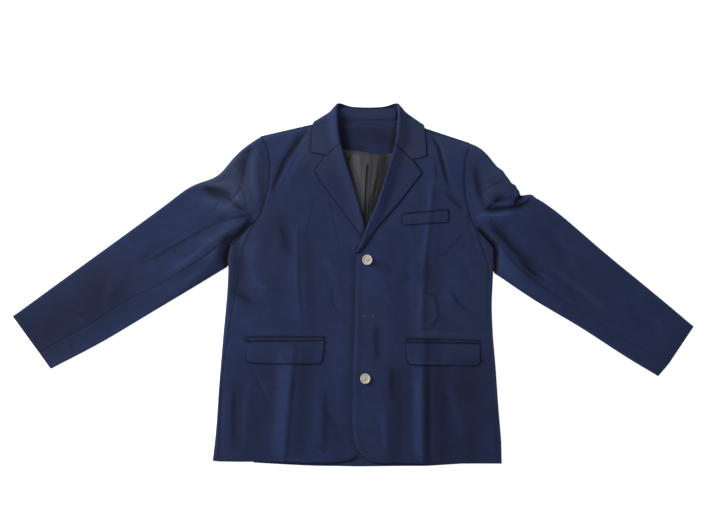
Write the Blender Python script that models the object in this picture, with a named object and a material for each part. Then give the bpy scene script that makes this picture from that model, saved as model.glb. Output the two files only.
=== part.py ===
"""Notched lapel blazer, laid flat with its face up.

X runs to the wearer's left, Y to the collar, and Z up from the surface that the blazer lies on.
Every size is in millimetres until a mesh is made. Each piece of cloth is a wall: a grid of points
on one of its sides, worked out from short tables, and moved along its normals for the other side.
Left and right in the names are the wearer's.
"""

import math

import bmesh
import bpy
import numpy as np
from mathutils import Vector
from mathutils.bvhtree import BVHTree

MM = 0.001

# Thickness of the walls
CLOTH = 1.6
DOUBLED = 1.7
COLLAR_WALL = 1.3
LINING = 1.0
JET = 0.9
SEAM = 0.3
LAID = 0.32

# Folds fade over this share of their length at each end, and keep this much of their height there
FOLD_FADE_SHARE = 0.22
FOLD_END_LEFT = 0.25
# Folds fade out below a shoulder seam and beside a side edge
FOLD_BELOW_SHOULDER = 14
FOLD_OFF_EDGE = 4
FOLD_EDGE_FADE = 12
ABOVE_EDGE = 30

# Height of the laid garment over the surface, front and back together
HEM_HEIGHT = 5.6
CHEST_HEIGHT = 7.6
SHOULDER_HEIGHT = 11.0
FLAT_HEIGHT = 4.4
CENTRE_X = 24.0
HEM_Y = -366.0
# From the hem the height rises over this length, and again from the chest to the yoke
CHEST_RISE = 420
YOKE_FROM_Y = 40
YOKE_RISE = 200
YOKE_INNER = 60
YOKE_WIDTH = 110
NAPE_SHARE = 0.75
NAPE_FROM_Y = 285
NAPE_RISE = 45

# How far the over front's edge laps past the under front's, and how it steps down beyond it
LAP_EDGE_X = 46.0
LAP_STEP = 20.0
LAP_BEYOND = 16
LAP_TOP_Y = 125
LAP_TOP_FADE = 25
LAP_FELT_Y = 130
LAP_FELT_BEYOND = 14
LAP_FELT_REACH = 6

# Wool cloth, lining and button colours, as linear red, green and blue
NAVY = (0.020, 0.028, 0.078, 1.0)
CHARCOAL = (0.035, 0.035, 0.040, 1.0)
CREAM = (0.62, 0.55, 0.46, 1.0)

# Outlines, each row a point x, y. Seams run from the hem up.
SIDE_SEAM_RIGHT = ((-275, -361.5), (-273, -308), (-268, -209), (-255, -101), (-239, -11), (-231, 47),
                   (-227, 73), (-216, 98), (-203, 126))
SIDE_SEAM_LEFT = ((297.5, -366), (296.8, -329), (290.8, -254), (284.8, -167), (279, -95), (276.8, -29),
                  (278, 8), (276, 44), (265, 72), (251, 113))
ARMHOLE_RIGHT = ((-203, 126), (-189, 145), (-182, 169), (-174, 197), (-170, 239), (-172, 267),
                 (-181.2, 293), (-185.2, 298.7), (-189, 304))
ARMHOLE_LEFT = ((251, 113), (240, 138), (230, 176), (227, 220), (229, 253), (234.9, 276),
                (237.45, 284.7), (239, 290))
UNDERARM_RIGHT = ((-251, 84), (-240, 91.5), (-226, 103), (-214.5, 114.5), (-203, 126))
UNDERARM_LEFT = ((287, 75), (281, 82), (270.5, 94), (260.8, 103.5), (251, 113))
# Where a sleeve lies against the body's side edge, below the underarm seam
BESIDE_RIGHT = ((-258.4, 36), (-256.6, 60), (-253, 84))
BESIDE_LEFT = ((288.4, 24), (289.4, 50), (288.8, 75.5))
SIDE_EDGE_RIGHT = ((-288, -360), (-282, -308), (-275, -209), (-266, -101), (-257, 5), (-256, 36),
                   (-255, 58), (-253, 75), (-251, 84))
SIDE_EDGE_LEFT = ((304.5, -366), (304, -329), (298, -254), (292, -167), (286, -95), (284, -29),
                  (286, -2), (287, 26), (288, 61), (287, 75))
BACK_SEAM_RIGHT = ((-205, -364), (-199, -200), (-190, -40), (-194, 60), (-203, 126))
BACK_SEAM_LEFT = ((228, -366), (222, -200), (214, -40), (226, 50), (251, 113))
CENTRE_BACK = ((10, -372), (16, -100), (26, 180), (30, 338))
CREASE_RIGHT = ((-147, -366), (-141, -299), (-134, -224), (-128, -167), (-109, -89), (-107, -64),
                (-117, 4), (-115, 120), (-112, 210), (-112, 340))
CREASE_LEFT = ((139, -366), (139, -160), (137, -89), (141, -7), (142, 32), (150, 94), (158, 153),
               (160, 219), (166, 330))
ROLL_RIGHT = ((25, 117), (11, 173), (-9, 237), (-21, 277), (-28, 312), (-31, 371))
ROLL_LEFT = ((7.5, 66), (14, 84), (26, 117), (47, 164), (65, 220), (84, 282), (91, 322), (92, 368))
EDGE_RIGHT = ((-47, -365.5), (-27, -364), (-8, -359), (5, -352), (14, -345), (26, -335), (39, -318),
              (46, -298), (46, -150), (46, 40), (43, 70), (31, 95), (18, 117), (4, 173), (-16, 237),
              (-28, 277), (-35, 312), (-37, 340))
EDGE_LEFT = ((57, -365.5), (36, -360), (24, -352), (15, -344), (8, -336), (3, -319), (-1, -298),
             (-2, -288), (-1, -239), (0, -179), (3, -101), (5, 2), (6.5, 62), (14, 74), (21.5, 84),
             (33.5, 117), (54, 164), (72, 220), (91, 282), (98, 322), (99, 340))
SHOULDER_RIGHT = ((-189, 304), (-37, 339))
SHOULDER_LEFT = ((239, 290), (99, 336))

# Heights of the fronts' rows: at the side or armhole, and at the front edge, roll or neck
ROWS_RIGHT = ((-361.5, -365.5), (-356, -359), (-349, -352), (-342, -345), (-333, -335), (-318, -318),
              (-298, -298), (-270, -270), (-240, -240), (-210, -210), (-184, -184), (-160, -160),
              (-137, -137), (-114, -114), (-92, -92), (-64, -64), (-34, -34), (-5, -5), (22, 24),
              (48, 52), (74, 80), (100, 106), (126, 132), (145, 151), (169, 176), (197, 205),
              (222, 232), (245, 258), (267, 283), (284, 304), (293, 320), (298.7, 333.4), (302.6, 337.6),
              (304, 339))
ROWS_LEFT = ((-366, -365.5), (-359, -360), (-351, -352), (-344, -344), (-335, -336), (-318, -319),
             (-298, -298), (-270, -270), (-240, -240), (-210, -210), (-184, -184), (-163, -163),
             (-140, -140), (-117, -117), (-95, -95), (-66, -66), (-36, -36), (-8, -8), (18, 20),
             (44, 50), (62, 66), (88, 92), (113, 118), (138, 144), (158, 166), (180, 190), (202, 216),
             (224, 242), (245, 268), (263, 293), (276, 313), (284.7, 330.4), (288.6, 334.6),
             (290, 336))
FRONT_CELLS = (5, 6)
# Where along a front's row its pressed crease is crossed
CREASE_SHARE = 0.45
# The back's rows leave out those of the fronts' rounded corners, and every other one up to the chest
BACK_CELLS = (3, 2, 2)
NECK_COLUMN = 50
FIRST_PLAIN_ROW = 4
CHEST_Y = -120
PANEL_TURN_Y = 24
# A side panel's points: shares of the way from its edge to each seam, and the room its round edge takes
PANEL_UPPER_SHARES = (0, 0.34, 0.67, 1)
PANEL_LOWER_SHARES = (0.2, 0.6, 1)
PANEL_EDGE_ROOM = 1.5

# Sleeves: the outer edge from the shoulder to the cuff, the inner edge from the underarm to the
# cuff, and the seam that shows near the inner edge
OUTER_RIGHT = ((-189, 304), (-214, 288), (-236, 270), (-259, 244), (-278, 222), (-292, 215.5),
               (-326, 207), (-372, 173), (-425, 134), (-571, 28), (-697, -64))
INNER_RIGHT = ((-258.4, 36), (-316, 1), (-418, -60),
               (-520, -121), (-619, -172))
SLEEVE_SEAM_RIGHT = ((-240, 91.5), (-247, 98), (-258, 94), (-270, 83), (-285, 71), (-322, 45), (-418, -12),
                     (-452, -25), (-533, -79), (-612, -121), (-642, -140))
OUTER_LEFT = ((239, 290), (254, 284), (270, 272), (297, 239), (319, 219), (328, 202), (338, 198),
              (348, 186), (358, 188), (368, 183), (443, 129), (491, 86), (624, -23), (697, -85))
INNER_LEFT = ((288.4, 24), (368, -30), (471, -91), (572, -157),
              (624, -187))
SLEEVE_SEAM_LEFT = ((281, 82), (287, 85), (294, 82), (303, 74), (315, 61), (329, 47), (345, 33),
                    (403, -13), (471, -57), (538, -99),
                    (617, -149), (645, -163))
RINGS = (0, 0.006, 0.018, 0.036, 0.058, 0.083, 0.11, 0.14, 0.172, 0.205, 0.25, 0.3, 0.36, 0.43, 0.52,
         0.63, 0.75, 0.88, 1)
SLEEVE_HEIGHT = ((0, 11.0), (0.04, 12.5), (0.1, 14.0), (0.18, 13.0), (0.28, 10.0), (0.42, 7.2),
                 (0.7, 6.6), (1, 6.2))
UNDERARM_HEIGHT = ((0, 4.4), (0.05, 5.4), (0.12, 7.0), (0.2, 7.4), (0.42, 6.8), (1, 6.2))
ARMHOLE_BELLY_ENDS = 0.26
# Columns of a sleeve's ring: the seam near the inner edge, and the hind seam counted from the outer one
SEAM_COLUMN = 3
HIND_COLUMN = 3
SHOULDER_CLEAR = 9.0
# How far from a sleeve's edges its height and folds come in, and how far from the armhole seam
SLEEVE_CROWN_RUN = 22
SLEEVE_LEAVES_AT = 2
SLEEVE_LEAVES_RUN = 22
SLEEVE_OUTER_FADE = (3, 9)
SLEEVE_INNER_FADE = (2, 8)
SLEEVE_FOLDS_FROM_SEAM = (1, 8)
TRENCH_FROM_SEAM = (1, 6)
OWN_HEIGHT_FROM = 0.003
OWN_HEIGHT_RUN = 0.016

# Folds: the line that each follows, its half width, and its height (a valley's is below zero)
BODY_FOLDS = (
    (((-115, 120), (-117, 4), (-107, -64), (-109, -89)), 11, 1.6),
    (((-122, -130), (-128, -167), (-134, -224), (-141, -299), (-147, -372)), 12, 2.6),
    (((-95, 316), (-139, 255), (-168, 185)), 11, -2.2),
    (((-112, 322), (-152, 266), (-171, 215)), 11, 1.4),
    (((-148, 124), (-129, 62)), 11, -1.6),
    (((-253, -9), (-209, -35)), 10, -1.7),
    (((-212, 12), (-184, -6)), 16, 1.5),
    (((-244, -193), (-244, -350)), 9, -1.3),
    (((-209, -166), (-170, -258)), 9, 1.0),
    (((-56, -205), (-56, -350)), 12, -1.3),
    (((-43, 2), (-41, -39), (-22, -70)), 9, -1.0),
    (((-237, 92), (-238, 52), (-243, 20)), 12, -1.4),
    (((-200, 116), (-206, 40)), 16, 1.4),
    (((160, 225), (158, 153), (150, 94), (142, 28)), 11, 1.6),
    (((141, 0), (137, -89), (138, -112)), 11, 1.8),
    (((139, -160), (139, -372)), 12, 2.8),
    (((160, -172), (160, -350)), 11, -1.2),
    (((157, 312), (174, 282), (190, 220), (198, 188)), 9, -1.7),
    (((189, 187), (226, 152)), 9, -1.2),
    (((178, 52), (230, 108)), 9, -1.0),
    (((132, 6), (145, -15), (167, -24), (174, -66), (154, -90), (112, -85)), 9, 1.1),
    (((200, -11), (217, -39), (246, -60)), 9, -1.2),
    (((49, -80), (49, -158)), 11, -1.1),
    (((80, -168), (80, -236)), 11, -1.1),
    (((262, 60), (270, -20)), 10, 1.0),
)
SLEEVE_FOLDS = (
    (((-207, 293), (-220, 245), (-228, 200)), 10, -2.6),
    (((-196, 283), (-203, 225), (-193, 163)), 11, 2.6),
    (((-303, 196), (-268, 184), (-248, 180)), 15, -6.0),
    (((-254, 177), (-243, 164)), 8, -3.0),
    (((-249, 170), (-212, 143), (-200, 138)), 10, -2.8),
    (((-275, 128), (-240, 137), (-207, 141)), 10, -2.6),
    (((-240, 130), (-283, 92), (-380, 20)), 14, 2.6),
    (((-429, 43), (-380, 70), (-322, 104), (-254, 147)), 9, -2.0),
    (((251, 226), (261, 176)), 11, -2.2),
    (((268, 203), (307, 214)), 10, -1.6),
    (((352, 194), (341, 184), (330, 167)), 9, -6.5),
    (((270, 153), (304, 157), (339, 160), (364, 176)), 10, -5.0),
    (((271, 153), (306, 180)), 9, -3.2),
    (((248, 137), (332, 143)), 12, 2.4),
    (((284, 127), (330, 70), (392, 12)), 18, -3.0),
    (((264, 124), (345, 50), (420, -2)), 12, 2.2),
)
CREVICE_RIGHT = (
    (((-203, 130), (-226, 108), (-246, 92), (-256, 80)), 8, -14),
    (((-250, 90), (-258, 76), (-260, 57), (-259, 38)), 15, -18),
)
CREVICE_LEFT = (
    (((257, 113), (272, 99), (285, 84), (290, 76)), 7, -14),
    (((286, 84), (291, 72), (292, 50), (290, 28)), 11, -18),
)

# Lining folds inside the neck: the pleat at the centre back and the drape beside it
LINING_FOLDS = (
    (((31, 268), (29, 237), (24, 150), (22, 118)), 10, 3.4),
    (((-4, 268), (-2, 250), (8, 205)), 8, 2.6),
    (((47, 262), (42, 220), (34, 165)), 9, 2.6),
    (((74, 262), (62, 205), (46, 165)), 8, 2.2),
)

# Lapels: outer edge from the lapel's point to its lower end, and the notch corner
LAPEL_EDGE_RIGHT = ((-77, 234), (-66, 214), (-50, 192), (-18, 149), (17.4, 101))
LAPEL_EDGE_LEFT = ((140, 229), (121, 205), (96, 173), (58, 129), (36, 103), (25, 89))
NOTCH_RIGHT = (-54, 266)
NOTCH_LEFT = (120, 256)
GORGE_RIGHT = (-24.5, 291)
GORGE_LEFT = (85.6, 288)
# Where each lapel's roll ends: under the other lapel, and just above the upper button
ROLL_END_RIGHT = 117
ROLL_END_LEFT = 84
LAPEL_STEPS = (0, 0.05, 0.12, 0.2, 0.29, 0.39, 0.49, 0.59, 0.69, 0.79, 0.88, 0.95, 1)
# Share of the lapel's length, height of the roll's crown, height of its tucked edge, where the tuck ends
LAPEL_RIGHT_ROLL = ((0, 19, 6.9, 240), (0.3, 17, 4.6, 240), (0.7, 14.8, 3.9, 240), (1, 13.6, 3.9, 235))
LAPEL_LEFT_ROLL = ((0, 19, 6.9, 240), (0.3, 17, 4.6, 240), (0.6, 15.8, 4.2, 240), (0.76, 15.2, 8.6, 215),
                   (1, 13.8, 8.6, 200))
ROLL_REACH = 22.0
ROLL_POINTS = 6
ROLL_SHARPNESS = 2.6
# Near the gorge a lapel's or collar's corner line swings to the notch, over this share of its length
LAPEL_NOTCH_SHARE = 0.12
COLLAR_NOTCH_SHARE = 0.16
ROLL_END_CLEAR = 8
GORGE_CLEAR = 6
LAPEL_FELT = 4
LAPEL_RAISED_WITHIN = 7
TUCK_CLEAR = 0.3
# Shares of the way from the roll to the notch's corner, and from there to the outer edge
ROLL_TO_CORNER = (0.25, 0.5, 0.75, 1.0)
CORNER_TO_EDGE = (0.34, 0.67, 1.0)
CORNER_SHARE = 0.6

# Collar, from the gorge to the centre back: roll line, outer edge, the angle that the fall has turned
# over the shoulder, and half the roll's height
COLLAR_HALF = (
    (-24.5, 291, 12.5, -86, 272, 10.4, 0, 6.5),
    (-28.5, 312, 13.0, -84.5, 295, 10.8, 0, 7.3),
    (-30, 334, 13.4, -83.5, 315, 11.2, 0, 7.4),
    (-31, 351, 12.6, -82, 328, 10.4, 15, 6.8),
    (-30, 361.5, 10.8, -80.5, 333.5, 8.0, 48, 6.0),
    (-27.5, 368.7, 8.6, -77, 336, 5.2, 90, 5.4),
    (-22, 369.6, 6.6, -71.5, 334.5, 0.4, 134, 5.0),
    (-14, 367.2, 5.2, -61, 327, 0.0, 166, 4.7),
    (-4, 364.6, 4.5, -41, 319, 0, 180, 4.5),
    (12, 363.3, 4.5, -8, 313, 0, 180, 4.5),
    (30, 363, 4.5, 30, 311, 0, 180, 4.5),
)
COLLAR_CENTRE_X = 30.0
# By the angle turned: how far the left half's outer edge lies lower than the right half's, and where
# the tucked edge ends
COLLAR_TURNS = ((0, 8.0, 231), (15, 7.2, 215), (48, 6.5, 165), (90, 6.0, 145), (134, 4.5, 145),
                (166, 2.0, 185), (180, 0.0, 235))
COLLAR_LEFT_GROWS = 1.03
# Where sections are taken along half of the collar, counted in rows of its table
COLLAR_PLACES = (0, 0.4, 0.85, 1.5, 2.4, 3.2, 3.9, 4.5, 5, 5.5, 6.1, 6.9, 8.2, 10)
FALL_EDGE_Y = 311.0
FALL_LIFT = 3.2
FALL_EDGE_RISE = 22
FALL_HALF_WIDTH = 108
LIFT_BEFORE_EDGE = 24
LIFT_RUN = 11
# The collar's front ends lie below this place on the plan, and its face is raised above this height
COLLAR_FRONT_Y = 330
COLLAR_FRONT_FADE = 40
COLLAR_FACE_LEVEL = 8.5
COLLAR_RAISED_WITHIN = 9
COLLAR_EVENED = 3

NECK_SEAM_Y = 337.4
STAND_LOW = 6.7
STAND_HIGH = 8.4
STAND_BEHIND_ROLL = 3.6
STAND_CORNER_DROP = 4.5
STAND_CORNER_RUN = 11
STAND_POINTS = (13, 5)
# How far inside the roll lines the stand starts at the wearer's right and left, and the facing beyond it
STAND_INSIDE_RIGHT = 2.5
STAND_INSIDE_LEFT = 4.5
FACING_BEYOND = 3
FACING_POINTS = (13, 7)
# Rows of the collar's table that lie behind the neck have turned by more than this
BEHIND_TURN = 150
LINING_LOW_Y = 112
LINING_BEYOND = 5
LINING_POINTS = (13, 10)
LINING_WIDENS_AT = 0.6
DRAPE_EDGE_RATE = 6
NECK_FELT = 6
# The scrap of lining that shows above the back hem
HEM_SCRAP_X = (-30, 48, 5)
HEM_SCRAP_Y = (-351.5, -338, -322)
FACING_EDGE = ((-29, 277), (7, 275.5), (51, 267), (92, 272))

# Pocket pieces: the four corners, from the lower left round to the upper left, seen from the front
FLAP_RIGHT_CORNERS = ((-219, -159.5), (-64, -161.5), (-60, -114.5), (-215, -115.5))
FLAP_LEFT_CORNERS = ((111, -162.5), (259.5, -165.5), (258, -120.5), (109.5, -118))
JET_RIGHT_CORNERS = ((-213.5, -115), (-60.5, -114), (-60.5, -108.2), (-213.5, -108))
JET_LEFT_CORNERS = ((110.5, -117.6), (258, -120), (259, -115), (111, -112))
JET_CELLS = (10, 1)
FLAP_CELLS = (10, 3)
WELT_CELLS = (8, 2)
FLAP_CORNER = 1.6
WELT_CORNERS = ((101, 123), (193, 129), (194, 152), (102, 144))

BUTTON_PLACES = {"button_upper": (29, 51), "button_lower": (25, -192)}
BUTTON_RADIUS = 10.4
BUTTON_HOLE_RADIUS = 1.1
BUTTON_HOLE_OFFSET = 2.1
# Radius and height of the button's turned profile, from the middle of its top to that of its foot
BUTTON_PROFILE = ((2.0, 2.7), (5.6, 2.6), (7.2, 3.1), (8.8, 3.5), (10.0, 3.1), (10.4, 2.1), (9.6, 0.7),
                  (7.0, 0.0), (3.5, 0.0))
BUTTON_SIDES = 20
BUTTON_FELT = (-8, 0, 8)
BUTTON_FELT_REACH = 2
BUTTON_CUT = 12
BUTTON_HOLE_SIDES = 8


def smooth(value):
    """A soft step from 0 to 1 as the value goes from 0 to 1."""
    value = np.clip(value, 0.0, 1.0)
    return value * value * (3.0 - 2.0 * value)


def ramp(distance, fade):
    """A soft step from 0 to 1 that starts at one distance and takes another: fade is (start, run)."""
    start, run = fade
    return smooth((distance - start) / run)


def curve_at(knots, values, at):
    """Values of a smooth curve through the given ones, at any place between the knots."""
    knots = np.asarray(knots, float)
    values = np.asarray(values, float)
    at = np.asarray(at, float)
    secants = (np.diff(values, axis=0).T / np.diff(knots)).T
    slopes = np.gradient(values, knots, axis=0)
    smaller = 3 * np.minimum(np.abs(secants[:-1]), np.abs(secants[1:])) * (secants[:-1] * secants[1:] > 0)
    slopes[1:-1] = np.clip(slopes[1:-1], -smaller, smaller)
    index = np.clip(np.searchsorted(knots, at, side="right") - 1, 0, len(knots) - 2)
    span = knots[index + 1] - knots[index]
    share = (at - knots[index]) / span
    if values.ndim > 1:
        share = share[..., None]
        span = span[..., None]
    rest = 1.0 - share
    return (
        values[index] * (1 + 2 * share) * rest**2
        + values[index + 1] * (3 - 2 * share) * share**2
        + slopes[index] * span * share * rest**2
        - slopes[index + 1] * span * rest * share**2
    )


def along(outline, shares):
    """Points at shares of the length of a smooth outline."""
    outline = np.asarray(outline, float)
    steps = np.linalg.norm(np.diff(outline, axis=0), axis=1)
    knots = np.concatenate([[0.0], np.cumsum(steps)]) / steps.sum()
    return curve_at(knots, outline, shares)


def x_at(outline, y):
    """Where an outline that runs up the garment crosses the height y."""
    outline = np.asarray(sorted(outline, key=lambda point: point[1]), float)
    return float(curve_at(outline[:, 1], outline[:, 0], np.clip(y, outline[0, 1], outline[-1, 1])))


def column(table, share, place):
    """One column of a table whose first column is a share of a length."""
    table = np.asarray(table, float)
    return float(curve_at(table[:, 0], table[:, place], share))


def distance_to_line(x, y, line):
    """Distance from points to a broken line, and the share of its length where each is nearest."""
    line = np.asarray(line, float)
    steps = np.linalg.norm(np.diff(line, axis=0), axis=1)
    passed = np.concatenate([[0.0], np.cumsum(steps)])
    nearest = np.full(np.shape(x), np.inf)
    place = np.zeros(np.shape(x))
    for start, end, length, before in zip(line[:-1], line[1:], steps, passed):
        toward = (end - start) / length
        reach = np.clip((x - start[0]) * toward[0] + (y - start[1]) * toward[1], 0, length)
        gap = np.hypot(x - start[0] - toward[0] * reach, y - start[1] - toward[1] * reach)
        closer = gap < nearest
        nearest = np.where(closer, gap, nearest)
        place = np.where(closer, (before + reach) / passed[-1], place)
    return nearest, place


def relief(x, y, folds):
    """Height that a table of folds adds at points of the plan."""
    total = np.zeros(np.shape(x))
    for line, half_width, height in folds:
        gap, place = distance_to_line(x, y, line)
        bell = np.clip(1.0 - (gap / half_width) ** 2, 0.0, 1.0) ** 2
        total = total + height * bell * smooth(
            np.minimum(place, 1.0 - place) / FOLD_FADE_SHARE + FOLD_END_LEFT)
    return total


def body_height(x, y):
    """Height of the front's face over the surface, without its folds."""
    chest = HEM_HEIGHT + (CHEST_HEIGHT - HEM_HEIGHT) * smooth((y - HEM_Y) / CHEST_RISE)
    beside = smooth((np.abs(x - CENTRE_X) - YOKE_INNER) / YOKE_WIDTH)
    yoke = smooth((y - YOKE_FROM_Y) / YOKE_RISE) * beside
    yoke = np.maximum(yoke, NAPE_SHARE * smooth((y - NAPE_FROM_Y) / NAPE_RISE))
    return chest + (SHOULDER_HEIGHT - CHEST_HEIGHT) * yoke


def off_side(x, y, side_edge):
    """Fade of the folds towards a side edge: 0 at the edge and 1 away from it."""
    edge = np.asarray(sorted(side_edge, key=lambda point: point[1]), float)
    edge_x = np.where(y > edge[-1, 1] + ABOVE_EDGE, np.inf, np.interp(y, edge[:, 1], edge[:, 0]))
    return smooth((np.abs(x - edge_x) - FOLD_OFF_EDGE) / FOLD_EDGE_FADE)


def below_shoulder(x, y, seam):
    """Distance of points below a shoulder seam."""
    (x0, y0), (x1, y1) = seam
    length = math.hypot(x1 - x0, y1 - y0)
    return np.abs((x1 - x0) * (y - y0) - (y1 - y0) * (x - x0)) / length


def round_over(height, gap):
    """Rise from half the height at a rounded edge to the whole height, at a distance from the edge."""
    radius = height / 2
    inside = np.clip(radius - gap, 0.0, radius)
    return np.sqrt(radius**2 - inside**2)


def finish_material(name, colour, roughness, metallic=0.0):
    """A plain material with one colour."""
    material = bpy.data.materials.get(name)
    if material is None:
        material = bpy.data.materials.new(name)
        material.use_nodes = True
        shader = material.node_tree.nodes["Principled BSDF"]
        shader.inputs["Base Color"].default_value = colour
        shader.inputs["Roughness"].default_value = roughness
        shader.inputs["Metallic"].default_value = metallic
        material.diffuse_color = colour
    return material


def wool():
    """Navy suiting."""
    return finish_material("navy_suiting", NAVY, 0.85)


def lining_cloth():
    """Charcoal lining."""
    return finish_material("charcoal_lining", CHARCOAL, 0.55)


def grid_normals(points):
    """Unit normals of a grid of points: across its columns and then up its rows."""
    across = np.gradient(points, axis=1)
    ahead = np.gradient(points, axis=0)
    normals = np.cross(across, ahead)
    return normals / np.linalg.norm(normals, axis=2, keepdims=True)


def evened(normals, passes):
    """Normals averaged with their neighbours, so that a wall stays whole round a tight bend."""
    for _ in range(passes):
        wide = np.pad(normals, ((1, 1), (1, 1), (0, 0)), mode="edge")
        normals = wide[1:-1, 1:-1] * 2 + wide[:-2, 1:-1] + wide[2:, 1:-1] + wide[1:-1, :-2] + wide[1:-1, 2:]
        normals = normals / np.linalg.norm(normals, axis=2, keepdims=True)
    return normals


def level_rim(points):
    """Normals of a grid's first row, as if the grid ran off level from it."""
    across = np.gradient(points[0], axis=0)
    lead = points[1] - points[0]
    lead[:, 2] = 0.0
    normals = np.cross(across, lead)
    return normals / np.linalg.norm(normals, axis=1, keepdims=True)


def two_triangles(form, first, second, third, fourth):
    """A cell of four corners, cut across its shorter diagonal."""
    if (first.co - third.co).length <= (second.co - fourth.co).length + 1e-9:
        form.faces.new((first, second, third))
        form.faces.new((first, third, fourth))
    else:
        form.faces.new((first, second, fourth))
        form.faces.new((second, third, fourth))


def cloth(name, points, wall, outward, material, normals=None):
    """A wall of cloth from a grid of points on one side of it.

    The grid's rows run up or along the piece, and its columns so that its faces look out. Outward
    is 1 where the thickness goes on over the points, and -1 where it goes behind them.
    """
    points = np.asarray(points, float)
    if normals is None:
        normals = grid_normals(points)
    beyond = points + normals * wall * outward
    sheets = (beyond, points) if outward > 0 else (points, beyond)
    form = bmesh.new()
    faces_out, faces_in = ([[form.verts.new(Vector(point) * MM) for point in row] for row in sheet]
                           for sheet in sheets)
    pairs = zip(faces_out[:-1], faces_out[1:], faces_in[:-1], faces_in[1:])
    for low_out, high_out, low_in, high_in in pairs:
        for step in range(len(low_out) - 1):
            two_triangles(form, low_out[step], low_out[step + 1], high_out[step + 1], high_out[step])
            two_triangles(form, low_in[step + 1], low_in[step], high_in[step], high_in[step + 1])
    rim_out = border(faces_out)
    rim_in = border(faces_in)
    for place in range(len(rim_out)):
        after = (place + 1) % len(rim_out)
        two_triangles(form, rim_out[after], rim_out[place], rim_in[place], rim_in[after])
    mesh = bpy.data.meshes.new(name)
    form.to_mesh(mesh)
    form.free()
    piece = bpy.data.objects.new(name, mesh)
    bpy.context.scene.collection.objects.link(piece)
    mesh.materials.append(material)
    mesh.shade_smooth()
    return piece


def border(grid):
    """The grid's border points, in order round it."""
    right = [row[-1] for row in grid]
    left = [row[0] for row in grid]
    return grid[0][:-1] + right[:-1] + grid[-1][:0:-1] + left[:0:-1]


class Support:
    """The pieces that another piece lies on, felt from above."""

    def __init__(self, *pieces):
        bpy.context.view_layer.update()
        graph = bpy.context.evaluated_depsgraph_get()
        self.trees = [BVHTree.FromObject(piece, graph) for piece in pieces]

    def top(self, x, y, reach=0.0):
        """Highest point within reach of x, y, or 0 where there is nothing."""
        shifts = (-reach, 0.0, reach) if reach else (0.0,)
        best = 0.0
        for dx in shifts:
            for dy in shifts:
                start = Vector(((x + dx) * MM, (y + dy) * MM, 1.0))
                for tree in self.trees:
                    hit = tree.ray_cast(start, Vector((0, 0, -1)))[0]
                    if hit is not None:
                        best = max(best, hit.z / MM)
        return best


def plan_rows(guides, cells):
    """Points between guide points, in every row: a row holds one point for each guide."""
    rows = []
    for row in guides:
        points = [np.array(row[0], float)]
        for start, end, count in zip(row[:-1], row[1:], cells):
            for step in range(1, count + 1):
                points.append(np.array(start, float) + (np.array(end, float) - start) * step / count)
        rows.append(points)
    return np.array(rows)


def front_plan(rows, seam, armhole, crease, edge):
    """Plan points of a front, from its side or armhole to its edge."""
    turn_y = armhole[0][1]
    guides = []
    for side_y, edge_y in rows:
        side_x = x_at(seam if side_y <= turn_y else armhole, side_y)
        edge_x = x_at(edge, edge_y)
        crease_y = side_y + (edge_y - side_y) * CREASE_SHARE
        guides.append(((side_x, side_y), (x_at(crease, crease_y), crease_y), (edge_x, edge_y)))
    return plan_rows(guides, FRONT_CELLS)


def shrink_seams(plan, left=0.0, right=0.0, bottom=0.0, top=0.0):
    """A plan whose border points are drawn in, to leave half of a seam's gap."""
    plan = plan.copy()
    for border, inner, gap in (
        (np.s_[:, 0], np.s_[:, 1], left),
        (np.s_[:, -1], np.s_[:, -2], right),
        (np.s_[0], np.s_[1], bottom),
        (np.s_[-1], np.s_[-2], top),
    ):
        if gap:
            toward = plan[inner] - plan[border]
            plan[border] += toward / np.linalg.norm(toward, axis=-1, keepdims=True) * gap
    return plan


def front_face(plan, shoulder, side_edge):
    """A front's face: the plan with the height of the laid body, rounded over at the shoulder."""
    x, y = plan[..., 0], plan[..., 1]
    gap = below_shoulder(x, y, shoulder)
    height = body_height(x, y)
    folds = relief(x, y, BODY_FOLDS) * smooth(gap / FOLD_BELOW_SHOULDER) * off_side(x, y, side_edge)
    return np.dstack([plan, height / 2 + round_over(height, gap) + folds])


def level_at_seam(points, seam):
    """Normals of a panel whose last row lies along a shoulder seam, where the wall ends level."""
    normals = grid_normals(points)
    run = np.subtract(seam[1], seam[0])
    across = np.array((-run[1], run[0])) * np.sign(run[0]) / np.hypot(*run)
    normals[-1] = (*across, 0.0)
    for end in (0, -1):
        along_edge = points[-1, end] - points[-2, end]
        along_edge[2] = 0.0
        normals[-1, end] = along_edge / np.linalg.norm(along_edge)
    return normals


def under_front():
    """The wearer's right front, which lies under the other at the buttons."""
    plan = front_plan(ROWS_RIGHT, SIDE_SEAM_RIGHT, ARMHOLE_RIGHT, CREASE_RIGHT, EDGE_RIGHT)
    armhole = plan[:, 0].copy()
    points = front_face(shrink_seams(plan, left=SEAM / 2), SHOULDER_RIGHT, SIDE_EDGE_RIGHT)
    points[-1, :, 2] += SEAM / 2
    return cloth("front_right", points, CLOTH, -1, wool(), level_at_seam(points, SHOULDER_RIGHT)), armhole


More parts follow.
